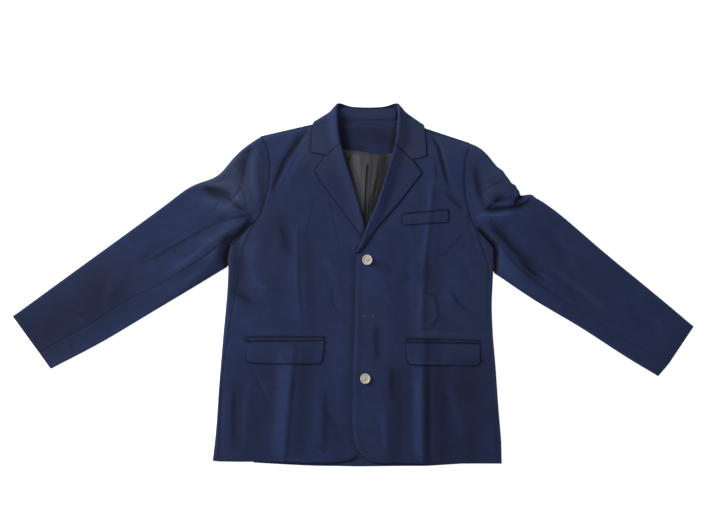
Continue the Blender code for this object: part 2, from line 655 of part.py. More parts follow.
def over_front(under):
    """The wearer's left front, which laps over the other one."""
    plan = front_plan(ROWS_LEFT, SIDE_SEAM_LEFT, ARMHOLE_LEFT, CREASE_LEFT, EDGE_LEFT)
    armhole = plan[:, 0].copy()
    # The table's plan runs from the side to the front edge, so its columns are turned round here.
    plan = plan[:, ::-1]
    points = front_face(shrink_seams(plan, right=SEAM / 2), SHOULDER_LEFT, SIDE_EDGE_LEFT)
    points[-1, :, 2] += SEAM / 2
    lift = (CLOTH + LAID) * (1 - smooth((points[..., 0] - LAP_EDGE_X - LAP_BEYOND) / LAP_STEP))
    points[..., 2] += lift * (1 - smooth((points[..., 1] - LAP_TOP_Y) / LAP_TOP_FADE))
    below = Support(under)
    for point in points.reshape(-1, 3):
        if point[1] < LAP_FELT_Y and point[0] < LAP_EDGE_X + LAP_FELT_BEYOND:
            point[2] = max(point[2], below.top(point[0], point[1], LAP_FELT_REACH) + CLOTH + LAID)
    return cloth("front_left", points, CLOTH, -1, wool(), level_at_seam(points, SHOULDER_LEFT)), armhole


def fall_edge(x):
    """Height where the collar's fall ends behind the back."""
    return FALL_EDGE_Y + FALL_EDGE_RISE * ((x - COLLAR_CENTRE_X) / FALL_HALF_WIDTH) ** 2


def back_lift(x, y):
    """How far the back is lifted off the surface by the collar's fall under it."""
    return FALL_LIFT * smooth((y - fall_edge(x) + LIFT_BEFORE_EDGE) / LIFT_RUN)


def back_panel(name, side, rows, seam, armhole):
    """Half of the back, flat on the surface, from its side seam or armhole to the centre seam."""
    shoulder = SHOULDER_RIGHT if side < 0 else SHOULDER_LEFT
    neck_x = shoulder[1][0]
    plain = [row for row in rows[FIRST_PLAIN_ROW:] if row[0] <= CHEST_Y]
    shaped = [row for row in rows if row[0] > CHEST_Y]
    guides = []
    for side_y, edge_y in plain[::2] + ([] if len(plain) % 2 else plain[-1:]) + shaped:
        side_x = x_at(seam if side_y <= armhole[0][1] else armhole, side_y)
        centre_y = min(edge_y, NECK_SEAM_Y)
        share = 1 - NECK_COLUMN / abs(side_x - neck_x)
        between = (side_x + (neck_x - side_x) * share, side_y + (edge_y - side_y) * share)
        guides.append(((side_x, side_y), between, (neck_x, edge_y),
                       (x_at(CENTRE_BACK, centre_y), centre_y)))
    hem_side, hem_centre = np.array(seam[0], float), np.array(CENTRE_BACK[0], float)
    shares = [abs(point[0] - seam[0][0]) / abs(hem_centre[0] - seam[0][0]) for point in guides[0]]
    hem = [hem_side + (hem_centre - hem_side) * share for share in shares]
    hem[1][1] = hem[2][1] = hem_centre[1] + 1
    plan = shrink_seams(plan_rows([hem] + guides, BACK_CELLS), left=SEAM / 2, right=SEAM / 2)
    x, y = plan[..., 0], plan[..., 1]
    gap = below_shoulder(x, y, shoulder)
    height = body_height(x, y)
    rounded = height / 2 - round_over(height, gap) - SEAM / 2 * (gap < 0.5)
    on_shoulder = smooth((side * (x - neck_x) + 1) / 3)
    points = np.dstack([plan, np.maximum(rounded * on_shoulder, back_lift(x, y))])
    # Seen from above, the columns run to the wearer's right, so that the outer side looks down.
    points = points[:, ::-1] if side < 0 else points
    normals = level_at_seam(points, shoulder)
    inside_neck = side * (points[-1, :, 0] - neck_x) < 1
    normals[-1, inside_neck] = (0.0, 0.0, -1.0)
    return cloth(name, points, CLOTH, -1, wool(), normals)


def wrapped(lower, edge, upper, height, upper_heights):
    """A section that runs along the underside, round an edge and back over the top.

    Lower and upper are the plan points on each side of the wall, nearest to the edge first, and
    upper_heights has a height for each upper point.
    """
    radius = height / 2
    section = [(*point, 0.0) for point in lower[::-1]]
    for angle in (-90, -45, 0, 45, 90):
        inner = lower[0] if angle < 0 else upper[0]
        inward = (inner - edge) / np.linalg.norm(inner - edge)
        turn = math.radians(angle)
        section.append((*(edge + inward * radius * (1 - math.cos(turn))), radius * (1 + math.sin(turn))))
    return section + [(*point, up) for point, up in zip(upper, upper_heights)]


def drawn_in(points):
    """Points whose last one is drawn back by half of a seam's gap."""
    back = points[-2] - points[-1]
    return points[:-1] + [points[-1] + back / np.linalg.norm(back) * SEAM / 2]


def side_panel(name, side, rows, front_seam, back_seam, side_edge, underarm):
    """A side panel: from the front seam, round the side edge, to the back seam underneath."""
    turn_y = front_seam[-1][1]
    levels = [side_y for side_y, _ in rows[:1] + rows[FIRST_PLAIN_ROW:] if side_y < turn_y - 1] + [turn_y]
    sections = []
    for level in levels:
        rise = max(0.0, (level - PANEL_TURN_Y) / (turn_y - PANEL_TURN_Y))
        edge_y = level if rise == 0 else PANEL_TURN_Y + (side_edge[-1][1] - PANEL_TURN_Y) * rise
        edge_y = max(edge_y, side_edge[0][1])
        back_y = max(level, back_seam[0][1])
        edge = np.array((x_at(side_edge, edge_y), edge_y))
        front = np.array((x_at(front_seam, level), level))
        back = np.array((x_at(back_seam, back_y), back_y))
        height = float(body_height(*edge))
        radius = height / 2
        if level == turn_y:
            upper = [np.array(point, float) for point in underarm[1:]]
            lower = upper[:2] + upper[3:]
        else:
            room = np.linalg.norm(front - edge)
            toward = (front - edge) / room
            start = min(radius * PANEL_EDGE_ROOM, (radius + room) / 2)
            upper = [edge + toward * (start + (room - start) * part) for part in PANEL_UPPER_SHARES]
            lower = [edge + (back - edge) * part for part in PANEL_LOWER_SHARES]
            upper, lower = drawn_in(upper), drawn_in(lower)
        heights = [float(body_height(*point) + relief(*point, BODY_FOLDS) * off_side(*point, side_edge))
                   for point in upper]
        sections.append(wrapped(lower, edge, upper, height, heights))
    points = np.array(sections)
    return cloth(name, points if side < 0 else points[:, ::-1], CLOTH, -1, wool())


def plan_normals(points, hand):
    """Unit directions at right angles to a line in plan, to its left (1) or right (-1)."""
    run = np.gradient(points, axis=0)
    normals = np.column_stack([-run[:, 1], run[:, 0]]) * hand
    return normals / np.linalg.norm(normals, axis=1, keepdims=True)


def sleeve_plan(armhole, underarm, beside, outer, inner, seam):
    """Plan of a sleeve: for every ring, its points from the inner edge to the outer edge."""
    shoulder_end = armhole[-1]
    armhole = [point for point in armhole if np.linalg.norm(point - shoulder_end) > SHOULDER_CLEAR]
    low = np.array((*beside, underarm[1]), float)
    high = np.vstack([np.array(underarm[1:3], float), armhole, shoulder_end])
    passed = np.cumsum(np.linalg.norm(np.diff(high, axis=0), axis=1))
    high_shares = np.concatenate([[0.0], passed])[:, None] / passed[-1]
    low_shares = np.linspace(0, 1, len(low))[:, None]
    low_belly = low - (low[0] + (low[-1] - low[0]) * low_shares)
    high_belly = high - (high[0] + (high[-1] - high[0]) * high_shares)
    rings = []
    for ring in RINGS:
        in_edge, middle, out_edge = (along(line, ring) for line in (inner, seam, outer))
        left = 1 - smooth(ring / ARMHOLE_BELLY_ENDS)
        lower = in_edge + (middle - in_edge) * low_shares + low_belly * left
        upper = middle + (out_edge - middle) * high_shares + high_belly * left
        rings.append(np.vstack([lower[:-1], upper]))
    return rings


def sleeve_face(plan, ring, away, crevice):
    """Heights of the sleeve's face at the points of a ring."""
    x, y = plan[:, 0], plan[:, 1]
    main = column(SLEEVE_HEIGHT, ring, 1)
    low = column(UNDERARM_HEIGHT, ring, 1)
    from_inner = np.linalg.norm(plan - plan[0], axis=1)
    from_outer = np.linalg.norm(plan - plan[-1], axis=1)
    own = low + (main - low) * smooth(from_inner / SLEEVE_CROWN_RUN)
    # The seam joins only the points from the underarm up; below it the sleeve lies free beside the body.
    joined = np.arange(len(plan)) >= SEAM_COLUMN
    leaving = np.where(joined, smooth((away - SLEEVE_LEAVES_AT) / SLEEVE_LEAVES_RUN), 1.0)
    level = body_height(x, y) * (1 - leaving) + own * leaving
    fade = ramp(from_outer, SLEEVE_OUTER_FADE) * ramp(from_inner, SLEEVE_INNER_FADE)
    folds = relief(x, y, SLEEVE_FOLDS) * ramp(away, SLEEVE_FOLDS_FROM_SEAM) + relief(x, y, BODY_FOLDS)
    trench = relief(x, y, crevice) * np.where(joined, ramp(away, TRENCH_FROM_SEAM), 1.0)
    return np.maximum(level + folds * fade + trench, FLAT_HEIGHT)


def sleeve(side, armhole, underarm, beside, outer, inner, seam, crevice):
    """The two pieces of a sleeve: a flattened tube, split along its two seams."""
    rings = sleeve_plan(armhole, underarm, beside, outer, inner, seam)
    first = rings[0].copy()
    loops = []
    for place, (ring, plan) in enumerate(zip(RINGS, rings)):
        if place == 0:
            plan = plan + plan_normals(plan, -side) * SEAM
        away = np.linalg.norm(plan - first, axis=1)
        face = sleeve_face(plan, ring, away, crevice)
        own = smooth((ring - OWN_HEIGHT_FROM) / OWN_HEIGHT_RUN)
        height_in = column(UNDERARM_HEIGHT, ring, 1)
        height_out = float(body_height(*plan[-1])) * (1 - own) + column(SLEEVE_HEIGHT, ring, 1) * own
        points = list(plan)
        hind = len(points) - HIND_COLUMN
        beneath_in = points[1 : SEAM_COLUMN + 3] + points[SEAM_COLUMN + 4 : hind : 2] + [points[hind]]
        beneath_out = points[-2 : hind - 1 : -1]
        inner_half = wrapped(beneath_in, points[0], points[1 : SEAM_COLUMN + 1], height_in,
                             face[1 : SEAM_COLUMN + 1])
        outer_half = wrapped(beneath_out, points[-1], points[-2 : SEAM_COLUMN - 1 : -1], height_out,
                             face[-2 : SEAM_COLUMN - 1 : -1])
        loops.append((inner_half, outer_half[::-1]))
    split = len(loops[0][0]) - 1
    tube = np.array([inner_half + outer_half[1:] for inner_half, outer_half in loops])
    # The loop is closed, so its two ends share the normal of the hind seam.
    ringed = np.concatenate([tube[:, -2:-1], tube, tube[:, 1:2]], axis=1)
    normals = grid_normals(ringed)[:, 1:-1]
    normals[0] = level_rim(ringed)[1:-1]
    under, under_normals = tube[:, : split + 1].copy(), normals[:, : split + 1]
    top, top_normals = tube[:, split:].copy(), normals[:, split:]
    for piece in (under, top):
        for border_at, inner_at in ((0, 1), (-1, -2)):
            back = piece[:, inner_at] - piece[:, border_at]
            piece[:, border_at] += back / np.linalg.norm(back, axis=1, keepdims=True) * SEAM / 2
    word = "right" if side < 0 else "left"
    for name, points, looks in (("top_sleeve_", top, top_normals), ("under_sleeve_", under, under_normals)):
        if side > 0:
            points, looks = points[:, ::-1], -looks[:, ::-1]
        cloth(name + word, points, CLOTH, -1, wool(), looks)


def rolled(roll, crown, corner, outer, outer_height, half_height, turn, normal, tuck):
    """A section of a lapel or collar, from its tucked edge, round the roll, to its outer edge.

    Turn is the angle by which the section has gone over the shoulder, and normal the plan direction
    that looks away there. Crown is the height of the roll's middle plane.
    """
    lift = half_height * math.cos(math.radians(turn))
    bulge = half_height * math.sin(math.radians(turn))
    width = math.sqrt(ROLL_SHARPNESS * half_height)
    outward = (corner - roll) / np.linalg.norm(corner - roll)
    section = []
    for angle in np.linspace(tuck, 90, ROLL_POINTS):
        turn_round = math.radians(angle)
        plan = roll + outward * width * (1 + math.cos(turn_round)) + normal * bulge * math.sin(turn_round)
        section.append((*plan, crown + lift * math.sin(turn_round)))
    start = roll + outward * width
    path = [start + (corner - start) * part for part in ROLL_TO_CORNER]
    path += [corner + (outer - corner) * part for part in CORNER_TO_EDGE]
    for point in path:
        gone = smooth((np.linalg.norm(point - roll) - width) / ROLL_REACH)
        plan = point + normal * bulge * (1 - gone)
        section.append((*plan, (crown + lift) * (1 - gone) + outer_height * gone))
    return section


def raise_onto(points, support, wall, reach):
    """Raise a face's points where the wall under them would meet what it lies on."""
    for point in points:
        point[2] = max(point[2], support.top(point[0], point[1], reach) + wall + LAID)


def gorge_gap(points, end, inner, roll, notch):
    """Draw an end row back from the gorge seam by half of the seam's gap."""
    line = np.array(notch, float) - roll
    across = np.array((-line[1], line[0])) / np.linalg.norm(line)
    ahead = points[inner, :, :2].mean(axis=0) - points[end, :, :2].mean(axis=0)
    points[end, :, :2] += across * math.copysign(SEAM / 2, float(across @ ahead))


def lapel(name, side, roll_line, roll_end, edge, gorge, notch, rolls, support, floor):
    """A lapel: rolled over along the roll line and laid on the front."""
    high = [point for point in sorted(roll_line, key=lambda point: -point[1])
            if roll_end + ROLL_END_CLEAR < point[1] < gorge[1] - GORGE_CLEAR]
    kept = [gorge] + high + [(x_at(roll_line, roll_end), roll_end)]
    sections = []
    for share in LAPEL_STEPS:
        roll, outer = along(kept, share), along(edge, share)
        crown, tucked, angle = (column(rolls, share, place) for place in (1, 2, 3))
        tucked = max(tucked, floor.top(roll[0], roll[1], LAPEL_FELT) + LAID + TUCK_CLEAR)
        half = (crown - tucked) / (1 - math.sin(math.radians(angle)))
        between = roll + (outer - roll) * CORNER_SHARE
        corner = between + (np.array(notch) - between) * max(0.0, 1 - share / LAPEL_NOTCH_SHARE)
        laid = support.top(outer[0], outer[1], LAPEL_FELT) + DOUBLED + LAID
        sections.append(rolled(roll, crown - half, corner, outer, laid, half, 0, np.zeros(2), angle))
    points = np.array(sections)
    gorge_gap(points, 0, 1, np.array(gorge, float), notch)
    raise_onto(points[:, ROLL_POINTS:].reshape(-1, 3), support, DOUBLED,
               LAPEL_RAISED_WITHIN)
    points = points[::-1]
    return cloth(name, points[:, ::-1] if side < 0 else points, DOUBLED, -1, wool())


def collar_rows():
    """The collar's rows, from the right gorge to the centre back, and on to the left gorge."""
    half = np.array(COLLAR_HALF, float)
    left = half[::-1].copy()
    front_share = smooth((COLLAR_FRONT_Y - left[:, 1]) / COLLAR_FRONT_FADE)
    turns = np.array(COLLAR_TURNS, float)
    left[:, 0] = 2 * COLLAR_CENTRE_X - left[:, 0]
    left[:, 3] = COLLAR_CENTRE_X + (COLLAR_CENTRE_X - left[:, 3]) * COLLAR_LEFT_GROWS
    left[:, 1] -= front_share * (GORGE_RIGHT[1] - GORGE_LEFT[1])
    left[:, 4] -= np.interp(left[:, 6], turns[:, 0], turns[:, 1])
    left[-1, 0] = GORGE_LEFT[0]
    return half, left


def collar(support):
    """The collar's fall: over the fronts at its ends, over the shoulders, and behind the neck."""
    sections = []
    turns = np.array(COLLAR_TURNS, float)
    for side, table, gorge, notch in zip((-1, 1), collar_rows(), (GORGE_RIGHT, GORGE_LEFT),
                                         (NOTCH_RIGHT, NOTCH_LEFT)):
        knots = np.concatenate([[0.0], np.cumsum(np.linalg.norm(np.diff(table[:, :3], axis=0), axis=1))])
        knots /= knots[-1]
        places = np.array(COLLAR_PLACES)
        places = places if side < 0 else (len(table) - 1 - places)[::-1]
        shares = np.interp(places, np.arange(len(table)), knots)
        for share in shares if side < 0 else shares[1:]:
            row = curve_at(knots, table, share)
            roll, outer = row[0:2], row[3:5]
            near_gorge = max(0.0, 1 - (share if side < 0 else 1 - share) / COLLAR_NOTCH_SHARE)
            corner = roll + (outer - roll) * CORNER_SHARE
            corner = corner + (np.array(notch) - corner) * near_gorge
            across = (outer - roll) / np.linalg.norm(outer - roll)
            normal = np.array((across[1], -across[0])) * -side
            tuck = float(np.interp(row[6], turns[:, 0], turns[:, 2]))
            sections.append(rolled(roll, row[2], corner, outer, row[5], row[7], row[6], normal, tuck))
    points = np.array(sections)
    gorge_gap(points, 0, 1, np.array(GORGE_RIGHT, float), NOTCH_RIGHT)
    gorge_gap(points, -1, -2, np.array(GORGE_LEFT, float), NOTCH_LEFT)
    points[..., 2] = np.maximum(points[..., 2], 0.0)
    front = points[:, ROLL_POINTS:].reshape(-1, 3)
    facing_up = front[:, 2] > COLLAR_FACE_LEVEL
    upper = front[facing_up]
    raise_onto(upper, support, COLLAR_WALL, COLLAR_RAISED_WITHIN)
    front[facing_up] = upper
    points[:, ROLL_POINTS:] = front.reshape(points[:, ROLL_POINTS:].shape)
    points = points[:, ::-1]
    return cloth("collar", points, COLLAR_WALL, -1, wool(), evened(grid_normals(points), COLLAR_EVENED))


def neck_inside(backs):
    """The collar stand, the back neck facing and the lining that show inside the neck."""
    left_x, right_x = ROLL_RIGHT[-1][0] + STAND_INSIDE_RIGHT, ROLL_LEFT[-1][0] - STAND_INSIDE_LEFT
    roll_y = np.array([(row[0], row[1]) for row in COLLAR_HALF if row[6] > BEHIND_TURN], float)
    stand_rows = []
    for part in np.linspace(0, 1, STAND_POINTS[1]):
        row = []
        for x in np.linspace(left_x, right_x, STAND_POINTS[0]):
            from_centre = COLLAR_CENTRE_X - abs(x - COLLAR_CENTRE_X)
            high_y = float(np.interp(from_centre, roll_y[:, 0], roll_y[:, 1])) - STAND_BEHIND_ROLL
            high_y -= STAND_CORNER_DROP * float(smooth(
                (roll_y[0, 0] - from_centre) / STAND_CORNER_RUN))
            low_y = NECK_SEAM_Y + SEAM
            row.append((x, low_y + (high_y - low_y) * part, STAND_LOW + (STAND_HIGH - STAND_LOW) * part))
        stand_rows.append(row)
    cloth("collar_stand", stand_rows, CLOTH, -1, wool())

    facing_rows = []
    for part in np.linspace(0, 1, FACING_POINTS[1]):
        row = []
        for share in np.linspace(0, 1, FACING_POINTS[0]):
            low = along(FACING_EDGE, share)
            high_x = left_x - FACING_BEYOND + share * (right_x - left_x + 2 * FACING_BEYOND)
            x, y = low + (np.array((high_x, NECK_SEAM_Y - SEAM)) - low) * part
            row.append((x, y, backs.top(x, y, NECK_FELT) + LAID))
        facing_rows.append(row)
    cloth("back_neck_facing", facing_rows, CLOTH, 1, wool())

    lining_rows = []
    for part in np.linspace(0, 1, LINING_POINTS[1]):
        row = []
        for share in np.linspace(0, 1, LINING_POINTS[0]):
            high = along(FACING_EDGE, share) - np.array((0, SEAM))
            y = LINING_LOW_Y + (high[1] - LINING_LOW_Y) * part
            low_x, high_x = x_at(ROLL_RIGHT, y) - LINING_BEYOND, x_at(ROLL_LEFT, y) + LINING_BEYOND
            level = low_x + (high_x - low_x) * share
            widened = smooth((part - LINING_WIDENS_AT) / (1 - LINING_WIDENS_AT))
            x = level + (high[0] - level) * widened
            off_edge = float(smooth(min(share, 1 - share) * DRAPE_EDGE_RATE))
            drape = float(relief(x, y, LINING_FOLDS)) * off_edge
            row.append((x, y, backs.top(x, y, NECK_FELT) + LAID + drape))
        lining_rows.append(row)
    cloth("back_lining", lining_rows, LINING, 1, lining_cloth())

    scrap_rows = [[(x, y, CLOTH + LAID) for x in np.linspace(*HEM_SCRAP_X)] for y in HEM_SCRAP_Y]
    cloth("hem_lining", scrap_rows, LINING, 1, lining_cloth())


def patch(name, corners, cells, wall, support, rounding=0.0):
    """A small piece laid on a panel, made from the panel's points and moved out."""
    lower_left, lower_right, upper_right, upper_left = (np.array(corner, float) for corner in corners)
    columns, levels = cells
    rows = []
    for up in np.linspace(0, 1, levels + 1):
        row = []
        for over in np.linspace(0, 1, columns + 1):
            point = (lower_left * (1 - over) + lower_right * over) * (1 - up)
            point = point + (upper_left * (1 - over) + upper_right * over) * up
            if up == 0 and over in (0, 1):
                point = point + np.array((rounding if over == 0 else -rounding, rounding))
            row.append((*point, 0.0))
        rows.append(row)
    points = np.array(rows)
    reach = np.linalg.norm(points[0, 1] - points[0, 0]) / 2 + 0.5
    for point in points.reshape(-1, 3):
        point[2] = support.top(point[0], point[1], reach) + LAID
    return cloth(name, points, wall, 1, wool())


def button(name, place, support):
    """A four-hole button: a turned profile with a rim, lying on the front."""
    x, y = place
    base = LAID + max(support.top(x + dx, y + dy, BUTTON_FELT_REACH)
                      for dx in BUTTON_FELT for dy in BUTTON_FELT)
    form = bmesh.new()
    rings = []
    for radius, height in BUTTON_PROFILE:
        ring = []
        for step in range(BUTTON_SIDES):
            turn = 2 * math.pi * step / BUTTON_SIDES
            point = Vector((radius * math.cos(turn), radius * math.sin(turn), height))
            ring.append(form.verts.new(point * MM))
        rings.append(ring)
    for inner, outer in zip(rings[:-1], rings[1:]):
        for step in range(BUTTON_SIDES):
            after = (step + 1) % BUTTON_SIDES
            form.faces.new((inner[step], outer[step], outer[after], inner[after]))
    form.faces.new(rings[0])
    form.faces.new(rings[-1][::-1])
    bmesh.ops.recalc_face_normals(form, faces=form.faces)
    mesh = bpy.data.meshes.new(name)
    form.to_mesh(mesh)
    form.free()
    piece = bpy.data.objects.new(name, mesh)
    piece.location = Vector((x, y, base)) * MM
    bpy.context.scene.collection.objects.link(piece)
    mesh.materials.append(finish_material("cream_button", CREAM, 0.4))
    mesh.shade_smooth()
    for index, (dx, dy) in enumerate(((1, 1), (-1, 1), (-1, -1), (1, -1))):
        bpy.ops.mesh.primitive_cylinder_add(
            vertices=BUTTON_HOLE_SIDES, radius=BUTTON_HOLE_RADIUS * MM, depth=BUTTON_CUT * MM,
            location=Vector((x + dx * BUTTON_HOLE_OFFSET, y + dy * BUTTON_HOLE_OFFSET, base)) * MM)
        cutter = bpy.context.object
        cutter.name = name + "_hole_" + str(index + 1)
        cutter.hide_render = True
        cutter.display_type = "WIRE"
        hole = piece.modifiers.new("hole_" + str(index + 1), "BOOLEAN")
        hole.operation = "DIFFERENCE"
        hole.object = cutter
    return piece


def clear_scene():
    """Remove what the scene holds at the start."""
    for item in list(bpy.data.objects):
        bpy.data.objects.remove(item, do_unlink=True)


def build():
    """Make every piece, from the surface up."""
    clear_scene()
    right_front, right_armhole = under_front()
    left_front, left_armhole = over_front(right_front)
    side_panel("side_panel_right", -1, ROWS_RIGHT, SIDE_SEAM_RIGHT, BACK_SEAM_RIGHT, SIDE_EDGE_RIGHT,
               UNDERARM_RIGHT)
    side_panel("side_panel_left", 1, ROWS_LEFT, SIDE_SEAM_LEFT, BACK_SEAM_LEFT, SIDE_EDGE_LEFT,
               UNDERARM_LEFT)
    backs = Support(back_panel("back_right", -1, ROWS_RIGHT, BACK_SEAM_RIGHT, ARMHOLE_RIGHT),
                    back_panel("back_left", 1, ROWS_LEFT, BACK_SEAM_LEFT, ARMHOLE_LEFT))
    sleeve(-1, right_armhole[right_armhole[:, 1] > UNDERARM_RIGHT[-1][1] - 1], UNDERARM_RIGHT, BESIDE_RIGHT,
           OUTER_RIGHT, INNER_RIGHT, SLEEVE_SEAM_RIGHT, CREVICE_RIGHT)
    sleeve(1, left_armhole[left_armhole[:, 1] > UNDERARM_LEFT[-1][1] - 1], UNDERARM_LEFT, BESIDE_LEFT,
           OUTER_LEFT, INNER_LEFT, SLEEVE_SEAM_LEFT, CREVICE_LEFT)
    neck_inside(backs)
    fronts = Support(right_front, left_front)
    inside = [bpy.data.objects[name] for name in ("back_neck_facing", "back_lining", "front_right")]
    lapel("lapel_right", -1, ROLL_RIGHT, ROLL_END_RIGHT, LAPEL_EDGE_RIGHT, GORGE_RIGHT, NOTCH_RIGHT,
          LAPEL_RIGHT_ROLL, Support(right_front), Support(*inside[:2]))
    lapel("lapel_left", 1, ROLL_LEFT, ROLL_END_LEFT, LAPEL_EDGE_LEFT, GORGE_LEFT, NOTCH_LEFT,
          LAPEL_LEFT_ROLL, fronts, Support(*inside))
    collar(fronts)
    patch("jet_right", JET_RIGHT_CORNERS, JET_CELLS, JET, fronts)
    patch("jet_left", JET_LEFT_CORNERS, JET_CELLS, JET, fronts)
    patch("flap_right", FLAP_RIGHT_CORNERS, FLAP_CELLS, CLOTH, fronts, FLAP_CORNER)
    patch("flap_left", FLAP_LEFT_CORNERS, FLAP_CELLS, CLOTH, fronts, FLAP_CORNER)
    patch("breast_welt", WELT_CORNERS, WELT_CELLS, CLOTH, fronts)
    for name, place in BUTTON_PLACES.items():
        button(name, place, fronts)


build()
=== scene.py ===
"""Dresses the notched lapel blazer that lies flat with its face up.

Every piece of cloth is a thin shell on the form of its solid: the solid's mesh is copied, made finer,
eased along its seams and given the fine creases that the solid leaves out. Pieces that lie on a panel
follow the panel. Lengths in the tables are millimetres, in the frame of the solids: X to the wearer's
left, Y to the collar, Z up. Left and right in the names are the wearer's.
"""
from __future__ import annotations

import logging
import math
from dataclasses import dataclass, field
from enum import Enum

import bmesh
import bpy
import numpy as np
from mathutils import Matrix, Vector, noise
from mathutils.bvhtree import BVHTree
from mathutils.kdtree import KDTree

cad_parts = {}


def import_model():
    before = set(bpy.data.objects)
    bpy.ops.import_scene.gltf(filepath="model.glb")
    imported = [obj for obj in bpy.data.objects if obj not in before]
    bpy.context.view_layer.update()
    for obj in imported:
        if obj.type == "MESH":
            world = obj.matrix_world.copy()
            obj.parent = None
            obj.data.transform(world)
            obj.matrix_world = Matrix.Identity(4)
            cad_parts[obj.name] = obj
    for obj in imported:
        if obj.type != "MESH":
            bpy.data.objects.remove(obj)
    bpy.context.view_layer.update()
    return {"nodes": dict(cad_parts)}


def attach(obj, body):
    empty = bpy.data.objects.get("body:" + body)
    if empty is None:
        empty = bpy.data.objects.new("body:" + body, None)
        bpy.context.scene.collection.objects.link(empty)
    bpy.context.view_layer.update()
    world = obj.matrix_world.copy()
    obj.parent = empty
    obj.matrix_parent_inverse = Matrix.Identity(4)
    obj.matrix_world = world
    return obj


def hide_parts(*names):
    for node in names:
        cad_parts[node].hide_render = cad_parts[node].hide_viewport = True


LOG = logging.getLogger("blazer")
MM = 0.001
BODY = "root"

Line = tuple[tuple[float, float], ...]
Colour = tuple[float, float, float]
Feeds = dict[str | int, object]
Nodes = dict[str, bpy.types.Object]


class Fineness(Enum):
    """How many times the mesh of a solid is subdivided."""

    PLAIN = 2
    FINE = 3


class Profile(Enum):
    """Cross section of a crease."""

    SOFT = "soft"
    PRESSED = "pressed"


@dataclass(frozen=True)
class Crease:
    """A ridge, or a valley where its height is below zero, that follows a line."""

    line: Line
    half_width: float
    height: float
    profile: Profile = Profile.SOFT
    # painted shade along the crease where below 0, painted highlight where above 0
    tone: float = 0.0
    taper: float = 0.22
    end_share: float = 0.25

    def strength(self, x: np.ndarray, y: np.ndarray) -> np.ndarray:
        """How much of the crease there is at each point.

        Args:
            x: places along X, in millimetres.
            y: places along Y, in millimetres.

        Returns:
            A share from 0, clear of the crease, to 1, on its crest.
        """
        knots = np.array(self.line, float)
        lengths = np.linalg.norm(np.diff(knots, axis=0), axis=1)
        before = np.concatenate([[0.0], np.cumsum(lengths)])
        nearest = np.full(x.shape, np.inf)
        passed = np.zeros(x.shape)
        for index, (start, end) in enumerate(zip(knots[:-1], knots[1:])):
            run = end - start
            share = ((x - start[0]) * run[0] + (y - start[1]) * run[1]) / (run @ run)
            share = np.clip(share, 0.0, 1.0)
            away = np.hypot(x - start[0] - share * run[0], y - start[1] - share * run[1])
            closer = away < nearest
            nearest = np.where(closer, away, nearest)
            passed = np.where(closer, before[index] + share * lengths[index], passed)
        taper = self.taper * before[-1]
        ends = smooth(passed / taper) * smooth((before[-1] - passed) / taper)
        inside = np.clip(1.0 - nearest / self.half_width, 0.0, 1.0)
        section = inside ** PRESSED_POWER if self.profile is Profile.PRESSED else smooth(inside)
        return section * (self.end_share + (1.0 - self.end_share) * ends)


def stroke(line: Line, half_width: float, tone: float, taper: float = 0.4) -> Crease:
    """A stroke of painted shade where its tone is below 0, and of painted highlight where it is above 0,
    that fades out at its ends.
    """
    return Crease(line, half_width, 0.0, tone=tone, taper=taper, end_share=0.0)


def seam(line: Line, half_width: float, tone: float) -> Crease:
    """A line of painted shade along a seam or under an edge, that keeps its strength up to its ends;
    with a tone above 0 it is a painted highlight line.
    """
    return Crease(line, half_width, 0.0, tone=tone, taper=0.03, end_share=0.6)


@dataclass(frozen=True)
class Nudge:
    """A small move of the cloth in plan, round one place, in millimetres."""

    x: float
    y: float
    reach: float
    across: float
    along: float

    def share(self, x: np.ndarray, y: np.ndarray) -> np.ndarray:
        """How much of the move each place gets."""
        return smooth(1.0 - np.hypot(x - self.x, y - self.y) / self.reach)


@dataclass(frozen=True)
class SheenPatch:
    """An oval of painted sheen, where the cloth's nap catches the light and looks paler, fading from its
    middle to its edge.
    """

    x: float
    y: float
    half_width: float
    half_height: float
    amount: float

    def strength(self, x: np.ndarray, y: np.ndarray) -> np.ndarray:
        """How much painted sheen each place gets, up to the patch's amount."""
        away = np.hypot((x - self.x) / self.half_width, (y - self.y) / self.half_height)
        return self.amount * smooth(1.0 - away / PATCH_FADE)


# The power that shapes a pressed crease's section, and how far past its oval a patch of painted sheen
# fades
PRESSED_POWER = 1.4
PATCH_FADE = 1.6

